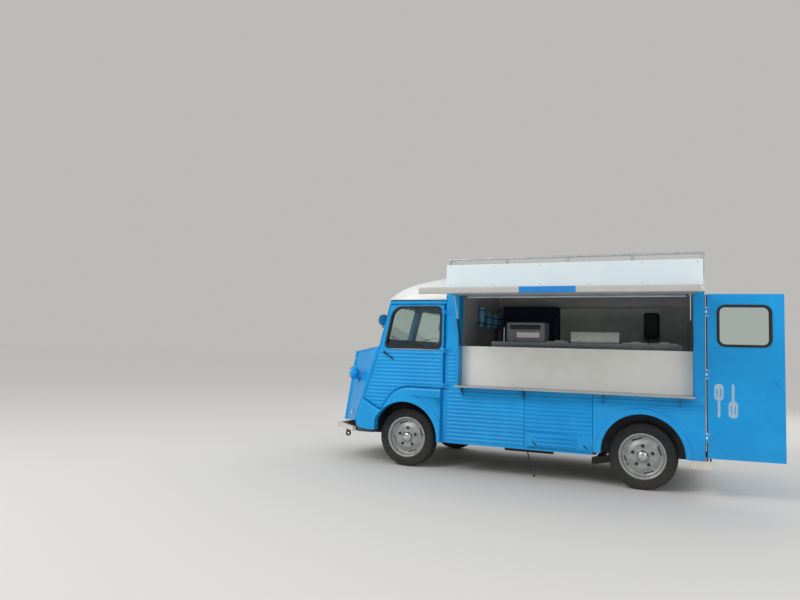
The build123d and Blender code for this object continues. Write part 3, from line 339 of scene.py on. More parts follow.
def makeGlass(look):
    material = bpy.data.materials.new("windowGlass")
    tree = emptyTree(material)
    place = addNode(tree, "TexCoord").outputs["Object"]
    dust = addNoise(tree, place, {"Scale": 1000 / look["dustSize"], "Detail": 5})
    rough = addRange(tree, dust, {"To Min": look["rough"], "To Max": look["dustyRough"]})
    shader = addNode(tree, "BsdfPrincipled",
                     values={"Base Color": hexColour(look["tint"]), "IOR": look["ior"],
                             "Transmission Weight": 1.0},
                     links={"Roughness": rough})
    addNode(tree, "OutputMaterial", links={"Surface": shader.outputs["BSDF"]})
    materials["windowGlass"] = material


makeGlass(glassLook)
print("finishes made:", len(materials))


# The CAD's nodes get a finish. Those that are copied or replaced further down are hidden by it.

corners = ["front_left", "front_right", "rear_left", "rear_right"]
finishNodes = {
    "blueEnamel": ["side_panels", "body_posts", "hatch_frame", "side_wall_right", "rear_frame", "scuttle",
                   "nose_sides", "nose_front", "bonnet", "headlamps", "rear_door", "cab_door_left",
                   "cab_door_right"],
    "wingEnamel": ["front_wings", "rear_wings"],
    "whiteEnamel": ["load_roof", "cab_roof"],
    "creamEnamel": ["bumpers"],
    "signFilm": ["sign_board"],
    "brushedAluminium": ["shelf"],
    "stainlessSheet": ["fittings"],
    "galvanisedTube": ["roof_rail"],
    "wheelPaint": ["rim_" + corner for corner in corners],
    "chromePlate": ["strut_rods"],
    "tyreRubber": ["tyre_" + corner for corner in corners],
    "chassisPaint": ["front_cradle", "rear_axle", "fuel_tank", "prop_stay", "mirrors", "strut_tubes",
                     "knuckle_left", "knuckle_right"],
    "floorPaint": ["platform", "wheelhouses"],
    "exhaustSteel": ["exhaust"],
    "castIron": ["engine_block"],
    "mouldedPlastic": ["engine_cover", "steering_wheel"],
    "seatVinyl": ["seats"],
    "navyPowder": ["back_units"],
    "greyLaminate": ["counter"],
    "paleMelamine": ["partition"],
    "redLens": ["tail_lamps"],
    "flapPaint": ["hatch_flap"],
    "windowGlass": ["windscreen", "rear_door_glass", "cab_glass_left", "cab_glass_right"],
}
nodeFinish = {node: finish for finish, members in finishNodes.items() for node in members}
for nodeName, finish in nodeFinish.items():
    nodes[nodeName].data.materials.clear()
    nodes[nodeName].data.materials.append(materials[finish])


# Shapes

def boxShape(bm, low, high, bevel=0.0, segments=2):
    low, high = Vector(low), Vector(high)
    size = high - low
    place = Matrix.Translation((low + high) / 2) @ Matrix.Diagonal((*size, 1))
    made = bmesh.ops.create_cube(bm, size=1.0, matrix=place)["verts"]
    if bevel:
        edges = list({e for v in made for e in v.link_edges})
        bmesh.ops.bevel(bm, geom=edges, offset=bevel, segments=segments, profile=0.5, affect="EDGES",
                        material=-1)


def rodShape(bm, start, end, radius, tip=None, segments=20):
    start, end = Vector(start), Vector(end)
    turn = (end - start).to_track_quat("Z", "Y").to_matrix().to_4x4()
    place = Matrix.Translation((start + end) / 2) @ turn
    bmesh.ops.create_cone(bm, cap_ends=True, segments=segments, radius1=radius,
                          radius2=radius if tip is None else tip, depth=(end - start).length, matrix=place)


def roundedFace(bm, corners, radii, segments=6):
    # a flat outline of (u, v) corners, each rounded by its own radius
    verts = [bm.verts.new((u, v, 0)) for u, v in corners]
    bm.faces.new(verts)
    for vert, radius in zip(verts, radii):
        bmesh.ops.bevel(bm, geom=[vert], offset=radius, segments=segments, profile=0.5, affect="VERTICES",
                        material=-1)
    return bm.faces[:][0]


def grown(corners, amount):
    # the same outline, every side moved outwards
    result = []
    for i, at in enumerate(corners):
        at = Vector(at)
        before, after = Vector(corners[i - 1]), Vector(corners[(i + 1) % len(corners)])
        normals = []
        for run in (at - before, after - at):
            normals.append(Vector((run.y, -run.x)).normalized())
        shift = (normals[0] + normals[1]) * (amount / (1 + normals[0].dot(normals[1])))
        result.append(tuple(at + shift))
    return result


def thicken(part, faces, thickness):
    made = bmesh.ops.extrude_face_region(part, geom=faces)["geom"]
    top = [v for v in made if isinstance(v, bmesh.types.BMVert)]
    bmesh.ops.translate(part, verts=top, vec=(0, 0, thickness))
    return top


def plateShape(bm, corners, radius, thickness, place):
    part = bmesh.new()
    thicken(part, [roundedFace(part, corners, [radius] * len(corners))], thickness)
    addPart(bm, part, place)


def ringShape(bm, corners, radii, outward, inward, thickness, place, crown=0.0):
    part = bmesh.new()
    face = roundedFace(part, grown(corners, outward), [radius + outward for radius in radii], 8)
    bmesh.ops.inset_individual(part, faces=[face], thickness=outward + inward, use_even_offset=True)
    bmesh.ops.delete(part, geom=[face], context="FACES_ONLY")
    top = thicken(part, part.faces[:], thickness)
    if crown:
        edges = [e for e in part.edges if all(v in top for v in e.verts) and e.calc_face_angle(0) > 1]
        bmesh.ops.bevel(part, geom=edges, offset=crown, segments=3, profile=0.5, affect="EDGES", material=-1)
    addPart(bm, part, place)


def latheShape(bm, profile, place, steps=48):
    # (radius, distance along Y) turned about Y, then put in its place
    part = bmesh.new()
    verts = [part.verts.new((r, w, 0)) for r, w in profile]
    edges = [part.edges.new(pair) for pair in zip(verts, verts[1:])]
    bmesh.ops.spin(part, geom=verts + edges, cent=(0, 0, 0), axis=(0, 1, 0), angle=2 * math.pi,
                   steps=steps, use_merge=True)
    bmesh.ops.remove_doubles(part, verts=part.verts, dist=1e-6)
    addPart(bm, part, place)


def addPart(bm, part, place):
    bmesh.ops.transform(part, matrix=place, verts=part.verts)
    bmesh.ops.recalc_face_normals(part, faces=part.faces)
    mesh = meshFrom("part", part)
    bm.from_mesh(mesh)
    bpy.data.meshes.remove(mesh)


def mirrorShape(bm):
    # a second copy on the other side of the truck
    copy = bmesh.ops.duplicate(bm, geom=bm.verts[:] + bm.edges[:] + bm.faces[:])["geom"]
    verts = [v for v in copy if isinstance(v, bmesh.types.BMVert)]
    faces = [f for f in copy if isinstance(f, bmesh.types.BMFace)]
    bmesh.ops.scale(bm, vec=(1, -1, 1), verts=verts)
    bmesh.ops.reverse_faces(bm, faces=faces)


def smoothMesh(name, bm, finish, angle):
    # edges above the angle stay sharp
    mesh = meshFrom(name, bm)
    mesh.materials.append(materials[finish])
    mesh.shade_smooth()
    mesh.set_sharp_from_angle(angle=math.radians(angle))
    return mesh


def makePiece(name, bm, finish, body="body", smooth=35, side=1, place=None, replaces=None):
    if place:
        bmesh.ops.transform(bm, matrix=place, verts=bm.verts)
    if side < 0:
        bmesh.ops.scale(bm, vec=(1, -1, 1), verts=bm.verts)
    bmesh.ops.remove_doubles(bm, verts=bm.verts, dist=1e-6)
    bmesh.ops.recalc_face_normals(bm, faces=bm.faces)
    piece = newObject(name, smoothMesh(name, bm, finish, smooth))
    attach(piece, body)
    if replaces:
        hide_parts(replaces)
    return piece


def makePair(name, bm, finish, **options):
    # one piece with its mirror image
    mirrorShape(bm)
    makePiece(name, bm, finish, **options)


def lathePair(name, profile, place, finish, steps=48, replaces=None):
    bm = bmesh.new()
    latheShape(bm, profile, place, steps)
    makePair(name, bm, finish, replaces=replaces)


def makeBoxes(name, finish, boxes, **options):
    bm = bmesh.new()
    for box in boxes:
        boxShape(bm, *box)
    makePiece(name, bm, finish, **options)


def turned(hinge, degrees, axis):
    turn = Matrix.Rotation(math.radians(degrees), 4, axis)
    return Matrix.Translation(hinge) @ turn @ Matrix.Translation(-Vector(hinge))


def facing(centre, direction):
    # a place for a lathed shape whose Y points along the direction
    turn = Vector((0, 1, 0)).rotation_difference(Vector(direction)).to_matrix().to_4x4()
    return Matrix.Translation(centre) @ turn


# from the rear door's shut place to the one it has at rest
rearOpen = turned((-1.841, 0.992, 0), -84.7, "Z")
sides = {"left": 1, "right": -1}


# Smooth copies of the CAD's nodes, with the angle above which an edge stays sharp

smoothNodes = {
    "load_roof": 30, "cab_roof": 40, "front_wings": 25, "rear_wings": 25, "side_panels": 25,
    "body_posts": 25, "side_wall_right": 25, "rear_frame": 25, "hatch_frame": 25, "scuttle": 25,
    "cab_door_left": 25, "cab_door_right": 25, "nose_sides": 20, "nose_front": 25, "bonnet": 25,
    "roof_rail": 40, "bumpers": 30, "exhaust": 40, "steering_wheel": 40, "hatch_flap": 30,
    "rear_door": 6, "strut_rods": 40, "strut_tubes": 40, "counter": 25, "back_units": 25, "shelf": 25,
    "engine_cover": 30, **{"rim_" + corner: 28 for corner in corners},
}
# planes square to X that part a node's faces, so that a stretch of them can have its own finish
cuts = {"hatch_flap": [-0.769, -0.263]}
nodeBody = {n: body for body, members in frame["record"]["behaviour"]["bodies"].items() for n in members}


def smoothCopy(node, angle):
    bm = bmesh.new()
    bm.from_mesh(nodes[node].data)
    bmesh.ops.remove_doubles(bm, verts=bm.verts, dist=1e-5)
    for x in cuts.get(node, []):
        whole = bm.verts[:] + bm.edges[:] + bm.faces[:]
        bmesh.ops.bisect_plane(bm, geom=whole, dist=1e-6, plane_co=(x, 0, 0), plane_no=(1, 0, 0))
    name = node + "Smooth"
    piece = newObject(name, smoothMesh(name, bm, nodeFinish[node], angle))
    flats = piece.modifiers.new("flats", "WEIGHTED_NORMAL")
    flats.mode = "FACE_AREA_WITH_ANGLE"
    flats.keep_sharp = True
    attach(piece, nodeBody[node])
    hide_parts(node)
    return piece


copies = {node: smoothCopy(node, angle) for node, angle in smoothNodes.items()}
print("smooth copies made")


# Stretches of those copies that have another finish: the faces whose middle is inside a box.
# x, y and z are its low and high ends, side the distance from the truck's middle plane, and
# outX and outY the share of the normal that points along the axis. Far is beyond every face.

far = 10
repaints = {
    "counter": ("counterLacquer", [{"y": (0.6755, far), "z": (-far, 1.3585)}]),
    "body_posts": ("paleMelamine", [{"side": (-far, 0.9645), "x": (-far, 0.737)}]),
    "hatch_frame": ("brushedAluminium", [{"z": (1.893, far), "x": (-1.705, 0.622)}]),
    "back_units": ("stainlessSheet", [{"z": (1.269, 1.301)}, {"z": (1.3, far), "x": (-far, -0.112)}]),
    "side_wall_right": ("paleMelamine", [{"y": (-0.966, far), "outY": (0.7, far)}]),
    "rear_frame": ("paleMelamine", [{"x": (-1.80, far), "outX": (0.7, far)}]),
    "hatch_flap": ("blueFilm", [{"y": (1.93, far), "x": (-0.766, -0.266), "outY": (0.5, far)}]),
    # tow eyes
    "bumpers": ("chassisPaint", [{"x": (1.9, far), "z": (-far, 0.346)},
                                 {"x": (-far, 0), "side": (-far, 0.2)}]),
    # parcel shelf, instrument box and steering column
    "scuttle": ("mouldedPlastic", [{"x": (-far, 1.535), "side": (-far, 0.905), "z": (0.7, 1.345)},
                                   {"x": (-far, 1.70), "y": (0.35, 0.41), "z": (0.55, 1.22)}]),
}
# the cab door handles get black moulded plastic, and the black also paints the shade they sit in
doorHandlePaintedShade = {"side": (1.0095, far), "z": (1.17, 1.29), "x": (1.37, 1.53)}
for side in sides:
    repaints["cab_door_" + side] = ("mouldedPlastic", [doorHandlePaintedShade])


def isInside(face, box):
    at, out = face.center, face.normal
    values = {"x": at.x, "y": at.y, "z": at.z, "side": abs(at.y), "outX": out.x, "outY": out.y}
    return all(low < values[key] < high for key, (low, high) in box.items())


def repaint(node, finish, boxes):
    mesh = copies[node].data
    mesh.materials.append(materials[finish])
    for face in mesh.polygons:
        if any(isInside(face, box) for box in boxes):
            face.material_index = len(mesh.materials) - 1


for node, (finish, boxes) in repaints.items():
    repaint(node, finish, boxes)
print("faces repainted")


# Wheels

wheelLook = {
    "x": {"front": 1.25, "rear": -1.25}, "y": 0.82, "z": 0.325, "steps": 96,
    # half a section from the bead to the middle of the tread: radius, distance from the wheel's middle
    "section": [
        (0.2065, 0.070), (0.214, 0.0735), (0.2235, 0.080), (0.232, 0.085), (0.238, 0.0865), (0.244, 0.0860),
        (0.248, 0.0870), (0.262, 0.0868), (0.280, 0.0850), (0.284, 0.0838), (0.288, 0.0842), (0.300, 0.0820),
        (0.310, 0.0785), (0.3165, 0.0735), (0.3200, 0.0660), (0.3225, 0.0560), (0.3160, 0.0545),
        (0.3160, 0.0475), (0.3238, 0.0460), (0.3246, 0.0200), (0.3175, 0.0185), (0.3175, 0.0105),
        (0.3248, 0.0090), (0.3250, 0.0)],
    "nuts": 5, "firstNut": 90, "nutRing": 0.098, "nutOut": 0.050,
    # the washer and the nut: start and end along the axle, radius at both, number of sides
    "nutParts": [(-0.006, 0.002, 0.01705, 0.01705, 24), (0.0, 0.014, 0.011, 0.0088, 6)],
    "cap": [(0.0, 0.092), (0.012, 0.0915), (0.026, 0.089), (0.040, 0.083), (0.050, 0.074), (0.056, 0.062),
            (0.058, 0.052), (0.0, 0.052)],
}


def makeWheels(look):
    for axle, x in look["x"].items():
        for side, sign in sides.items():
            body, name = f"wheel_{axle}_{side}", axle.title() + side.title()
            centre = Vector((x, look["y"], look["z"]))
            bm = bmesh.new()
            section = look["section"]
            whole = section + [(r, -w) for r, w in reversed(section[:-1])] + section[:1]
            latheShape(bm, whole, Matrix.Translation(centre), look["steps"])
            makePiece("tyre" + name, bm, "tyreRubber", body, 30, sign, replaces=f"tyre_{axle}_{side}")
            bm = bmesh.new()
            for i in range(look["nuts"]):
                turn = math.radians(look["firstNut"] + 360 * i / look["nuts"])
                around = Vector((math.cos(turn), 0, math.sin(turn))) * look["nutRing"]
                at = centre + around + Vector((0, look["nutOut"], 0))
                for start, end, radius, tip, count in look["nutParts"]:
                    rodShape(bm, at + Vector((0, start, 0)), at + Vector((0, end, 0)), radius, tip, count)
            makePiece("nuts" + name, bm, "chassisPaint", body, 20, sign)
            bm = bmesh.new()
            latheShape(bm, look["cap"], Matrix.Translation(centre))
            makePiece("hubCap" + name, bm, "chromePlate", body, 40, sign)


makeWheels(wheelLook)
print("wheels made")


# Seals round the windows, and the bright strip below the cab door's window

sealLook = {
    "door": {"corners": [(0.836, 1.326), (1.500, 1.326), (1.402, 1.775), (0.836, 1.775)],
             "radii": [0.048, 0.048, 0.100, 0.048]},
    "rear": {"corners": [(0.469, 1.420), (0.906, 1.420), (0.906, 1.788), (0.469, 1.788)],
             "radii": [0.060] * 4},
    "screen": {"corners": [(0.050, 1.412), (0.918, 1.412), (0.918, 1.800), (0.050, 1.800)],
               "radii": [0.045] * 4},
    "outward": 0.014, "inward": 0.010, "thick": 0.009, "crown": 0.003,
    # where the rings stand: outer and inner face of each door, and below the windscreen's surface
    "doorFaces": (1.006, 0.966), "rearFaces": (-1.8455, -1.8185), "screenSink": -0.002,
    "doorStrip": ((0.868, 0.9985, 1.3045), (1.452, 1.0085, 1.3105), 0.002),
}
# the windscreen: x at the centreline on the ground, and how it falls back outwards and upwards
screenFoot, screenSweep, screenLean = 1.984, 0.07, 0.2526
# local u, v and outward to the truck's frame
sideways = Matrix(((1, 0, 0, 0), (0, 0, -1, 0), (0, 1, 0, 0), (0, 0, 0, 1)))
forwards = Matrix(((0, 0, 1, 0), (1, 0, 0, 0), (0, 1, 0, 0), (0, 0, 0, 1)))
backwards = Matrix(((0, 0, -1, 0), (1, 0, 0, 0), (0, 1, 0, 0), (0, 0, 0, 1)))
onScreen = Matrix(((-screenSweep, -screenLean, 1, screenFoot), (1, 0, 0, 0), (0, 1, 0, 0), (0, 0, 0, 1)))


def sealShape(bm, look, window, place):
    shape = look[window]
    ringShape(bm, shape["corners"], shape["radii"], look["outward"], look["inward"], look["thick"], place,
              look["crown"])


def makeSeals(look):
    for side, sign in sides.items():
        bm = bmesh.new()
        for y in look["doorFaces"]:
            sealShape(bm, look, "door", Matrix.Translation((0, y, 0)) @ sideways)
        makePiece("doorSeal" + side.title(), bm, "sealRubber", "cab_door_" + side, 40, sign)
        makeBoxes("doorStrip" + side.title(), "brushedAluminium", [look["doorStrip"]],
                  body="cab_door_" + side, smooth=40, side=sign)
    bm = bmesh.new()
    for x, way in zip(look["rearFaces"], (backwards, forwards)):
        sealShape(bm, look, "rear", Matrix.Translation((x, 0, 0)) @ way)
    makePiece("rearDoorSeal", bm, "sealRubber", "rear_door", 40, place=rearOpen)
    bm = bmesh.new()
    sealShape(bm, look, "screen", onScreen @ Matrix.Translation((0, 0, look["screenSink"])))
    makePair("screenSeals", bm, "sealRubber", smooth=40)


makeSeals(sealLook)
print("seals made")


# Lamps, mirrors and wipers

lampLook = {
    "centre": (2.008, 0.785, 1.011),
    # radius, distance towards the front
    "bowl": [(0, -0.0758), (0.020, -0.0733), (0.038, -0.0658), (0.054, -0.0535), (0.066, -0.0377),
             (0.0735, -0.0193), (0.0758, 0.0), (0.0758, 0.006), (0.0700, 0.008), (0.0, 0.008)],
    "bezel": [(0.0700, 0.004), (0.0760, 0.004), (0.0760, 0.012), (0.0750, 0.018), (0.0715, 0.0220),
              (0.0672, 0.0220), (0.0660, 0.016), (0.0700, 0.004)],
    "lens": [(0.0672, 0.017), (0.0655, 0.0240), (0.0550, 0.0305), (0.0400, 0.0362), (0.0200, 0.0398),
             (0, 0.041), (0, 0.037), (0.0200, 0.0358), (0.0400, 0.0322), (0.0545, 0.0262), (0.0640, 0.0185),
             (0.0672, 0.017)],
    "reflector": [(0, 0.0090), (0.020, 0.0095), (0.040, 0.0115), (0.055, 0.0150), (0.0640, 0.0180),
                  (0.0640, 0.0165), (0.055, 0.0120), (0.0, 0.0082)],
    "bulb": [(0, 0.022), (0.006, 0.0205), (0.0085, 0.016), (0.0085, 0.011), (0, 0.010)],
    "stalk": ((1.968, 0.775, 0.961), (1.960, 0.7174, 0.932), 0.017),
    # the stalk's foot on the flank, and how far it reaches into it and out of it
    "foot": (1.962, 0.732, 0.939), "flankOut": (0.75, 0.661, 0), "footReach": (-0.004, 0.006),
    "footRadii": (0.027, 0.023),
    "turnPlace": (2.000, 0.7816, 0.550), "turnOut": (0.794, 0.608, 0),
    "turnBase": [(0, -0.003), (0.025, -0.003), (0.025, 0.003), (0.022, 0.005), (0, 0.005)],
    "turnDome": [(0, 0.004), (0.0215, 0.004), (0.0210, 0.009), (0.0170, 0.014), (0.0100, 0.0170), (0, 0.018)],
    "tailPlace": (-1.8098, 0.925, 0.348),
    "tailBase": [(0, 0.0), (0.018, 0.0), (0.018, 0.008), (0.0165, 0.010), (0, 0.010)],
    "tailDome": [(0, 0.009), (0.0152, 0.009), (0.0150, 0.017), (0.0120, 0.0245), (0.0070, 0.0285),
                 (0, 0.0298)],
}


def makeLamps(look):
    front = facing(look["centre"], (1, 0, 0))
    lathePair("headlampBezels", look["bezel"], front, "chromePlate")
    lathePair("headlampLenses", look["lens"], front, "windowGlass")
    lathePair("headlampReflectors", look["reflector"], front, "mirrorGlass")
    lathePair("headlampBulbs", look["bulb"], front, "opalAcrylic")
    bm = bmesh.new()
    latheShape(bm, look["bowl"], front, 64)
    rodShape(bm, *look["stalk"], segments=32)
    ends = [Vector(look["foot"]) + Vector(look["flankOut"]) * reach for reach in look["footReach"]]
    rodShape(bm, *ends, *look["footRadii"], segments=32)
    makePair("headlampBowls", bm, "wingEnamel", replaces="headlamps")
    turn = facing(look["turnPlace"], look["turnOut"])
    tail = facing(look["tailPlace"], (-1, 0, 0))
    lathePair("turnLampBases", look["turnBase"], turn, "sealRubber", 32)
    lathePair("turnLamps", look["turnDome"], turn, "opalAcrylic", 32)
    lathePair("tailLampBases", look["tailBase"], tail, "chromePlate", 32, "tail_lamps")
    lathePair("tailLampLenses", look["tailDome"], tail, "redLens", 32)


makeLamps(lampLook)

mirrorLook = {
    "foot": (1.5238, 0.968, 1.545), "centre": (1.5618, 0.935, 1.632), "out": (-0.80, 0.60, 0),
    "shell": [(0, -0.0078), (0.040, -0.0072), (0.058, -0.0050), (0.0650, 0.0), (0.0658, 0.004),
              (0.0650, 0.0078), (0.0618, 0.0078), (0.0612, 0.0045), (0, 0.0045)],
    "glass": [(0, 0.0040), (0.0610, 0.0040), (0.0610, 0.0060), (0, 0.0062)],
    # from the foot: the boss on the pillar and the stem's elbow; from the centre: the stem's top
    "boss": ((0.001, 0, 0), (0.008, 0, 0)), "bossRadii": (0.011, 0.009),
    "elbow": (0.034, -0.004, 0.004), "stemTop": (0, 0, -0.058), "stemRadius": 0.0048,
}


def makeMirrors(look):
    place = facing(look["centre"], look["out"])
    foot, top = Vector(look["foot"]), Vector(look["centre"]) + Vector(look["stemTop"])
    elbow = foot + Vector(look["elbow"])
    bm = bmesh.new()
    latheShape(bm, look["shell"], place, 64)
    rodShape(bm, *[foot + Vector(end) for end in look["boss"]], *look["bossRadii"], segments=24)
    rodShape(bm, foot, elbow, look["stemRadius"])
    rodShape(bm, elbow, top, look["stemRadius"])
    makePair("mirrorShells", bm, "mouldedPlastic", replaces="mirrors")
    lathePair("mirrorGlasses", look["glass"], place, "mirrorGlass", 64)


makeMirrors(mirrorLook)

wiperLook = {
    # the ends of each rod as (y, z) on the windscreen and the distance from it, then their radii
    "pivot": [((0.42, 1.385, -0.004), (0.42, 1.385, 0.020)), (0.011, 0.009)],
    "arm": [((0.42, 1.385, 0.017), (0.62, 1.455, 0.018)), (0.004, 0.003)],
    "blade": [((0.40, 1.432, 0.014), (0.84, 1.476, 0.014)), (0.0042, 0.0042)],
}


def makeWipers(look):
    bm = bmesh.new()
    for ends, radii in look.values():
        rodShape(bm, *[onScreen @ Vector(end) for end in ends], *radii)
    makePair("wipers", bm, "sealRubber")


makeWipers(wiperLook)
print("lamps, mirrors and wipers made")


# Gutters, drip strip, locker bars and latches, sign screws and rail clamps

trimLook = {
    # each box: low corner, high corner and bevel; over the cab doors, and along the right eaves
    "dripStrip": ((0.784, 0.9985, 1.8585), (1.440, 1.0125, 1.8665), 0.003),
    "doorTopSeal": ((0.784, 0.9985, 1.8500), (1.444, 1.0060, 1.8580), 0.002),
    "roofGutter": ((-1.805, -1.0130, 1.9260), (0.770, -0.9990, 1.9400), 0.004),
    # rubber along the rear door's hinged edge, in its shut place, and on the body behind it
    "rearDoorEdge": [((-1.8465, 1.0015, low), (-1.8360, 1.0130, high), 0.0015)
                     for low, high in ((0.374, 0.510), (0.600, 1.100), (1.190, 1.690), (1.780, 1.896))],
    "rearPostSeal": [((-1.8145, 0.955, 0.374), (-1.8095, 0.985, 1.896), 0.0015)],
}
# the locker lid's bars, with the round of an end as shares of the radius, and its slot latches
lockerLook = {
    "face": 1.012, "x": (-0.643, -0.233), "z": (0.375, 0.413, 0.451), "radius": 0.012,
    "end": [(0, 0), (0.38, 0.08), (0.71, 0.30), (0.92, 0.62), (1, 1)],
    "latches": [(-0.213, 0.383), (-0.724, 0.381)], "slope": 42, "length": 0.058, "width": 0.013,
    # a latch's corners as a share of half its width, the height above the lid of its rim and of the black
    # plate that paints the shade in its slot, the rim's reach outwards and inwards and its depth, and its
    # rounded edge
    "corner": 0.96, "rimTop": 0.004, "slotShadeTop": 0.0025, "rimSize": (0.0035, 0.0005, 0.0045),
    "rimCrown": 0.001, "slotShadeDepth": 0.003,
}
screwLook = {
    "x": (-1.75, -1.25, -0.75, -0.25, 0.25, 0.73), "z": (2.018, 2.212), "y": (1.0055, 1.0075),
    "radii": (0.006, 0.0042),
}
# a sleeve along the rail and a collar below it at each post
clampLook = {
    "first": -1.796, "step": 0.638, "count": 5, "y": 0.945, "z": 2.3022,
    "sleeve": 0.018, "sleeveRadius": 0.0155, "collar": (-0.040, -0.008), "collarRadius": 0.0150,
}


def makeTrim(look):
    bm = bmesh.new()
    boxShape(bm, *look["dripStrip"])
    mirrorShape(bm)
    boxShape(bm, *look["roofGutter"])
    makePiece("gutters", bm, "whiteEnamel")
    bm = bmesh.new()
    boxShape(bm, *look["doorTopSeal"])
    makePair("roofSeals", bm, "sealRubber")
    for name, body, place in (("rearDoorEdge", "rear_door", rearOpen), ("rearPostSeal", "body", None)):
        makeBoxes(name, "sealRubber", look[name], body=body, place=place)


def makeLocker(look):
    bm = bmesh.new()
    low, high = look["x"]
    end = [(share * look["radius"], at * look["radius"]) for share, at in look["end"]]
    profile = end + [(r, high - low - at) for r, at in reversed(end)]
    for z in look["z"]:
        latheShape(bm, profile, facing((low, look["face"], z), (1, 0, 0)), 32)
    makePair("lockerBars", bm, "blueEnamel")
    rims, slotShades = bmesh.new(), bmesh.new()
    u, v = look["length"] / 2, look["width"] / 2
    corners, radius = [(-u, -v), (u, -v), (u, v), (-u, v)], v * look["corner"]
    slant = sideways @ Matrix.Rotation(math.radians(look["slope"]), 4, "Z")
    for x, z in look["latches"]:
        rimPlace, slotShadePlace = (Matrix.Translation((x, look["face"] + look[top], z)) @ slant
                               for top in ("rimTop", "slotShadeTop"))
        ringShape(rims, corners, [radius] * 4, *look["rimSize"], rimPlace, look["rimCrown"])
        # each slot is a thin black rubber plate on the lid, painted shade in place of a hollow
        plateShape(slotShades, corners, radius, look["slotShadeDepth"], slotShadePlace)
    for name, bm, finish in (("latchRims", rims, "blueEnamel"), ("latchSlotShades", slotShades, "sealRubber")):
        makePair(name, bm, finish)


def makeScrews(look):
    bm = bmesh.new()
    for x in look["x"]:
        for z in look["z"]:
            rodShape(bm, *[(x, y, z) for y in look["y"]], *look["radii"])
    makePiece("signScrews", bm, "chromePlate")


def makeClamps(look):
    bm = bmesh.new()
    reach = Vector((look["sleeve"], 0, 0))
    for i in range(look["count"]):
        at = Vector((look["first"] + i * look["step"], look["y"], look["z"]))
        rodShape(bm, at - reach, at + reach, look["sleeveRadius"], segments=24)
        rodShape(bm, *[at + Vector((0, 0, z)) for z in look["collar"]], look["collarRadius"], segments=24)
    makePair("railClamps", bm, "galvanisedTube")


makeTrim(trimLook)
makeLocker(lockerLook)
makeScrews(screwLook)
makeClamps(clampLook)
print("trim made")


# Two plain ice lollies in film on the rear door: one upright, one upside down

motifLook = {
    # middle across, foot of the body, foot of the stick
    "lollies": [(0.906, 0.905, 0.752), (0.786, 0.750, 0.904)],
    # width, height and corner radius
    "body": (0.078, 0.155, 0.034), "stick": (0.022, 0.156, 0.009), "groove": (0.007, 0.079, 0.0032),
    "grooveShifts": (-0.016, 0.016), "grooveFoot": 0.038,
    # x of each film's back, and its thickness
    "film": (-1.8465, 0.0009), "grooveFilm": (-1.8468, 0.0010),
}


def filmShape(bm, middle, foot, size, layer):
    width, height, radius = size
    x, thickness = layer
    left, right, top = middle - width / 2, middle + width / 2, foot + height
    plateShape(bm, [(left, foot), (right, foot), (right, top), (left, top)], radius, thickness,
               Matrix.Translation((x, 0, 0)) @ backwards)


def makeMotif(look):
    film, grooves = bmesh.new(), bmesh.new()
    for middle, body, stick in look["lollies"]:
        filmShape(film, middle, body, look["body"], look["film"])
        filmShape(film, middle, stick, look["stick"], look["film"])
        for shift in look["grooveShifts"]:
            filmShape(grooves, middle + shift, body + look["grooveFoot"], look["groove"], look["grooveFilm"])
    makePiece("doorMotif", film, "silverFilm", "rear_door", place=rearOpen)
    makePiece("doorMotifGrooves", grooves, "blueFilm", "rear_door", place=rearOpen)


makeMotif(motifLook)
print("motif made")


# What stands and hangs inside the opening

insideLook = {
    # each box: low corner, high corner, bevel and its segments
    "machine": ((-0.215, 0.300, 1.420), (0.215, 0.560, 1.640), 0.016, 3),
    "machineTray": ((-0.166, 0.545, 1.468), (0.087, 0.600, 1.530), 0.008, 3),
    "machinePanel": ((-0.170, 0.556, 1.560), (0.170, 0.5665, 1.612), 0.004),
    "dispenser": ((-1.325, -0.950, 1.528), (-1.145, -0.830, 1.840), 0.030, 4),
    "dispenserLever": ((-1.280, -0.834, 1.558), (-1.190, -0.824, 1.603), 0.004),
    "chest": ((-1.000, 0.290, 1.419), (-0.500, 0.600, 1.545), 0.010, 3),
    "light": ((-1.650, 0.880, 1.881), (0.568, 0.930, 1.905), 0.006),
    # both ends of each lid of the cabinet; y and z of a lid's corners and of its handle's, and the bevel
    "lids": [(-1.560, -1.300), (-1.285, -1.025), (-0.475, -0.235)],
    "lid": ((0.310, 1.419), (0.600, 1.436), 0.006),
    "handle": ((0.440, 1.434), (0.462, 1.452), 0.005), "handleHalf": 0.050,
    "post": ((0.228, 0.600, 1.358), (0.228, 0.600, 1.578), 0.006),
    "postFoot": [(0, 0), (0.016, 0), (0.015, 0.006), (0.007, 0.009), (0, 0.009)],
}
# Stacks of cups on the partition
cupLook = {
    "stacks": [(0.020, 1.853), (-0.278, 1.790), (-0.560, 1.790), (-0.835, 1.790)],  # y and top
    "x": 0.664, "foot": 1.610, "pitch": 0.016, "firstRim": 0.012, "mouthRoom": 0.020,
    # radius and height: of the lowest cup from the foot, of each rim, and of the mouth from the top
    "lowest": [(0, 0), (0.030, 0), (0.031, 0.010)],
    "rim": [(0.0365, 0), (0.0375, 0.003), (0.0372, 0.012)],
    "mouth": [(0.0400, -0.006), (0.0425, -0.003), (0.0400, 0), (0.0380, -0.004), (0.0340, -0.030),
              (0, -0.030)],
    # a ring and a short arm hold each stack low down and high up
    "lowRing": 0.040, "highRing": -0.050, "arm": ((0.036, -0.012, -0.006), (0.050, 0.012, 0.006), 0.002),
    "ring": [(0.0385, -0.006), (0.0430, -0.006), (0.0430, 0.006), (0.0385, 0.006), (0.0385, -0.006)],
}


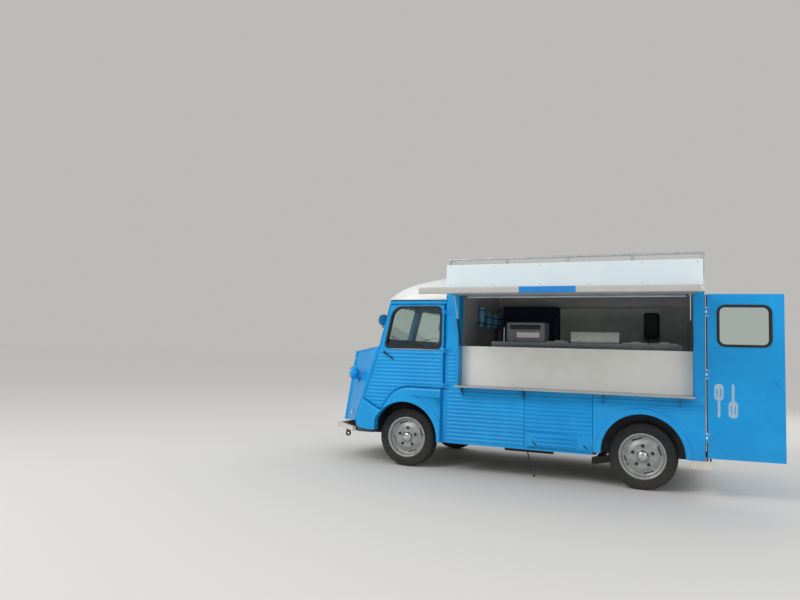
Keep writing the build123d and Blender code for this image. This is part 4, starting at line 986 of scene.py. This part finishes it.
def makeCups(look):
    stacks, brackets = bmesh.new(), bmesh.new()
    for y, top in look["stacks"]:
        height = top - look["foot"]
        count = int(height / look["pitch"])
        profile = list(look["lowest"])
        for i in range(count):
            up = look["firstRim"] + (height - look["mouthRoom"]) * i / count
            profile += [(r, up + h) for r, h in look["rim"]]
        profile += [(r, height + h) for r, h in look["mouth"]]
        latheShape(stacks, profile, facing((look["x"], y, look["foot"]), (0, 0, 1)), 32)
        for z in (look["foot"] + look["lowRing"], top + look["highRing"]):
            at = Vector((look["x"], y, z))
            latheShape(brackets, look["ring"], facing(at, (0, 0, 1)), 32)
            low, high, bevel = look["arm"]
            boxShape(brackets, at + Vector(low), at + Vector(high), bevel)
    makePiece("cupStacks", stacks, "cupPlastic")
    makePiece("cupBrackets", brackets, "mouldedPlastic")


def makeInside(look, cups):
    makeBoxes("machine", "greyLaminate", [look["machine"]], replaces="fittings")
    makeBoxes("machineTray", "opalAcrylic", [look["machineTray"]])
    makeBoxes("machinePanelAndDispenser", "mouldedPlastic",
              [look[key] for key in ("machinePanel", "dispenser", "dispenserLever")])
    makeCups(cups)
    bm = bmesh.new()
    rodShape(bm, *look["post"])
    latheShape(bm, look["postFoot"], facing(look["post"][0], (0, 0, 1)), 24)
    makePiece("guardPost", bm, "chromePlate")
    boxes = [look["chest"]]
    for start, end in look["lids"]:
        middle = (start + end) / 2
        grip = (middle - look["handleHalf"], middle + look["handleHalf"])
        for (x0, x1), (low, high, bevel) in (((start, end), look["lid"]), (grip, look["handle"])):
            boxes.append(((x0, *low), (x1, *high), bevel))
    makeBoxes("cabinetLids", "stainlessSheet", boxes)
    makeBoxes("lightStrip", "brushedAluminium", [look["light"]])


makeInside(insideLook, cupLook)
print("inside made")


# Seats: cushions blown up as cloth on a painted frame

seatLook = {
    # low and high corner, the axis on which the pad rests and the fill
    "pads": {"seatCushion": ((0.912, 0.446, 0.792), (1.286, 0.884, 0.862), 2, 0.7),
             "backCushion": ((0.826, 0.446, 0.885), (0.884, 0.884, 1.284), 0, 0.6)},
    # how the cloth is made: rounded edge, size of a voxel, pressure, frames, and the most a point moves
    "edge": 0.020, "voxel": 0.009, "pressure": 4.0, "frames": 20, "cap": 0.022,
    "frame": [((0.805, 0.440, 0.762), (1.290, 0.890, 0.790)), ((0.802, 0.440, 0.785), (0.824, 0.890, 1.280))],
    "frameBevel": 0.006,
    # the cord sewn round the seat cushion's top edge
    "welt": 0.0045, "weltOut": 0.006, "weltSink": 0.006, "weltRound": 0.02,
}


def shaped(piece):
    # the mesh as its modifiers leave it
    return bpy.data.meshes.new_from_object(piece.evaluated_get(bpy.context.evaluated_depsgraph_get()))


def makeSeats(look):
    scene = bpy.context.scene
    for name, (low, high, rest, fill) in look["pads"].items():
        bm = bmesh.new()
        boxShape(bm, low, high, look["edge"], 3)
        block = newObject(name + "Start", meshFrom(name, bm))
        remesh = block.modifiers.new("remesh", "REMESH")
        remesh.mode = "VOXEL"
        remesh.voxel_size = look["voxel"]
        pad = newObject(name + "Cloth", shaped(block))
        before = [v.co.copy() for v in pad.data.vertices]
        cloth = pad.modifiers.new("cloth", "CLOTH")
        cloth.settings.use_pressure = True
        cloth.settings.uniform_pressure_force = look["pressure"]
        cloth.settings.effector_weights.gravity = 0
        for frameNumber in range(1, look["frames"] + 1):
            scene.frame_set(frameNumber)
        blown = shaped(pad)
        for vert, start in zip(blown.vertices, before):
            move = vert.co - start
            vert.co = start + move * min(1, look["cap"] / max(move.length, 1e-6))
            vert.co[rest] = max(vert.co[rest], low[rest])
        scene.frame_set(1)
        for side, sign in sides.items():
            bm = bmesh.new()
            bm.from_mesh(blown)
            piece = makePiece(name + side.title(), bm, "seatVinyl", "body", 180, sign)
            smooth = piece.modifiers.new("smooth", "SUBSURF")
            smooth.levels = smooth.render_levels = 1
        for used in (block, pad):
            bpy.data.objects.remove(used)
    bm = bmesh.new()
    for low, high in look["frame"]:
        boxShape(bm, low, high, look["frameBevel"])
    makePair("seatFrames", bm, "chassisPaint", replaces="seats")
    bm = bmesh.new()
    low, high = look["pads"]["seatCushion"][:2]
    top = Matrix.Translation((0, 0, high[2] - look["weltSink"]))
    corners = [(low[0], low[1]), (high[0], low[1]), (high[0], high[1]), (low[0], high[1])]
    ringShape(bm, corners, [look["weltRound"]] * 4, look["weltOut"], 0.0, look["welt"], top, look["welt"] / 3)
    makePair("seatWelts", bm, "seatVinyl", smooth=60)


makeSeats(seatLook)
print("seats made")


# Floor, backdrop and light: a pale studio

studioLook = {
    "floor": "#DAD8D3", "floorSize": 500.0, "floorRough": 0.9, "sky": "#F2F3F5", "skyStrength": 0.8,
    "grain": {"Scale": 40.0, "Detail": 6}, "relief": {"Strength": 0.1, "Distance": 0.002},
    "lamps": [
        # name, place, size, power
        ("keyLamp", (5.5, 9.5, 8.5), 5.0, 480),
        ("fillLamp", (-7.5, 7.0, 5.5), 7.0, 120),
        ("backLamp", (-3.0, -9.0, 7.5), 7.0, 220),
    ],
    "aim": (0, 0, 1.0),
}


def makeFloor(look):
    material = bpy.data.materials.new("studioFloor")
    tree = emptyTree(material)
    place = addNode(tree, "TexCoord").outputs["Object"]
    grain = addNoise(tree, place, look["grain"])
    relief = addNode(tree, "Bump", values=look["relief"], links={"Height": grain})
    shader = addNode(tree, "BsdfPrincipled",
                     values={"Base Color": hexColour(look["floor"]), "Roughness": look["floorRough"]},
                     links={"Normal": relief.outputs["Normal"]})
    addNode(tree, "OutputMaterial", links={"Surface": shader.outputs["BSDF"]})
    bm = bmesh.new()
    bmesh.ops.create_grid(bm, x_segments=1, y_segments=1, size=look["floorSize"] / 2)
    mesh = meshFrom("studioFloor", bm)
    mesh.materials.append(material)
    newObject("studioFloor", mesh)


def makeSky(look):
    world = bpy.data.worlds.new("studioSky")
    tree = emptyTree(world)
    path = addNode(tree, "LightPath").outputs
    seen = path["Is Camera Ray"]
    for ray in ("Is Glossy Ray", "Is Transmission Ray"):
        seen = addNode(tree, "Math", {"operation": "MAXIMUM"},
                       links={0: seen, 1: path[ray]}).outputs["Value"]
    sky = hexColour(look["sky"])
    # what is seen behind the floor's edge is as bright as the far floor
    horizon = tuple(a * b for a, b in zip(sky, hexColour(look["floor"])))
    light, backdrop = (addNode(tree, "Background",
                               values={"Color": colour, "Strength": look["skyStrength"]})
                       for colour in (sky, horizon))
    both = addNode(tree, "MixShader", links={0: seen, 1: light.outputs["Background"],
                                                       2: backdrop.outputs["Background"]})
    addNode(tree, "OutputWorld", links={"Surface": both.outputs["Shader"]})
    bpy.context.scene.world = world


def makeLights(look):
    for name, at, size, power in look["lamps"]:
        data = bpy.data.lights.new(name, "AREA")
        data.shape = "DISK"
        data.size = size
        data.energy = power
        lamp = newObject(name, data)
        lamp.location = at
        lamp.rotation_euler = (Vector(look["aim"]) - Vector(at)).to_track_quat("-Z", "Y").to_euler()


makeFloor(studioLook)
makeSky(studioLook)
makeLights(studioLook)
bpy.context.scene.view_settings.view_transform = "Standard"
print("studio lit")
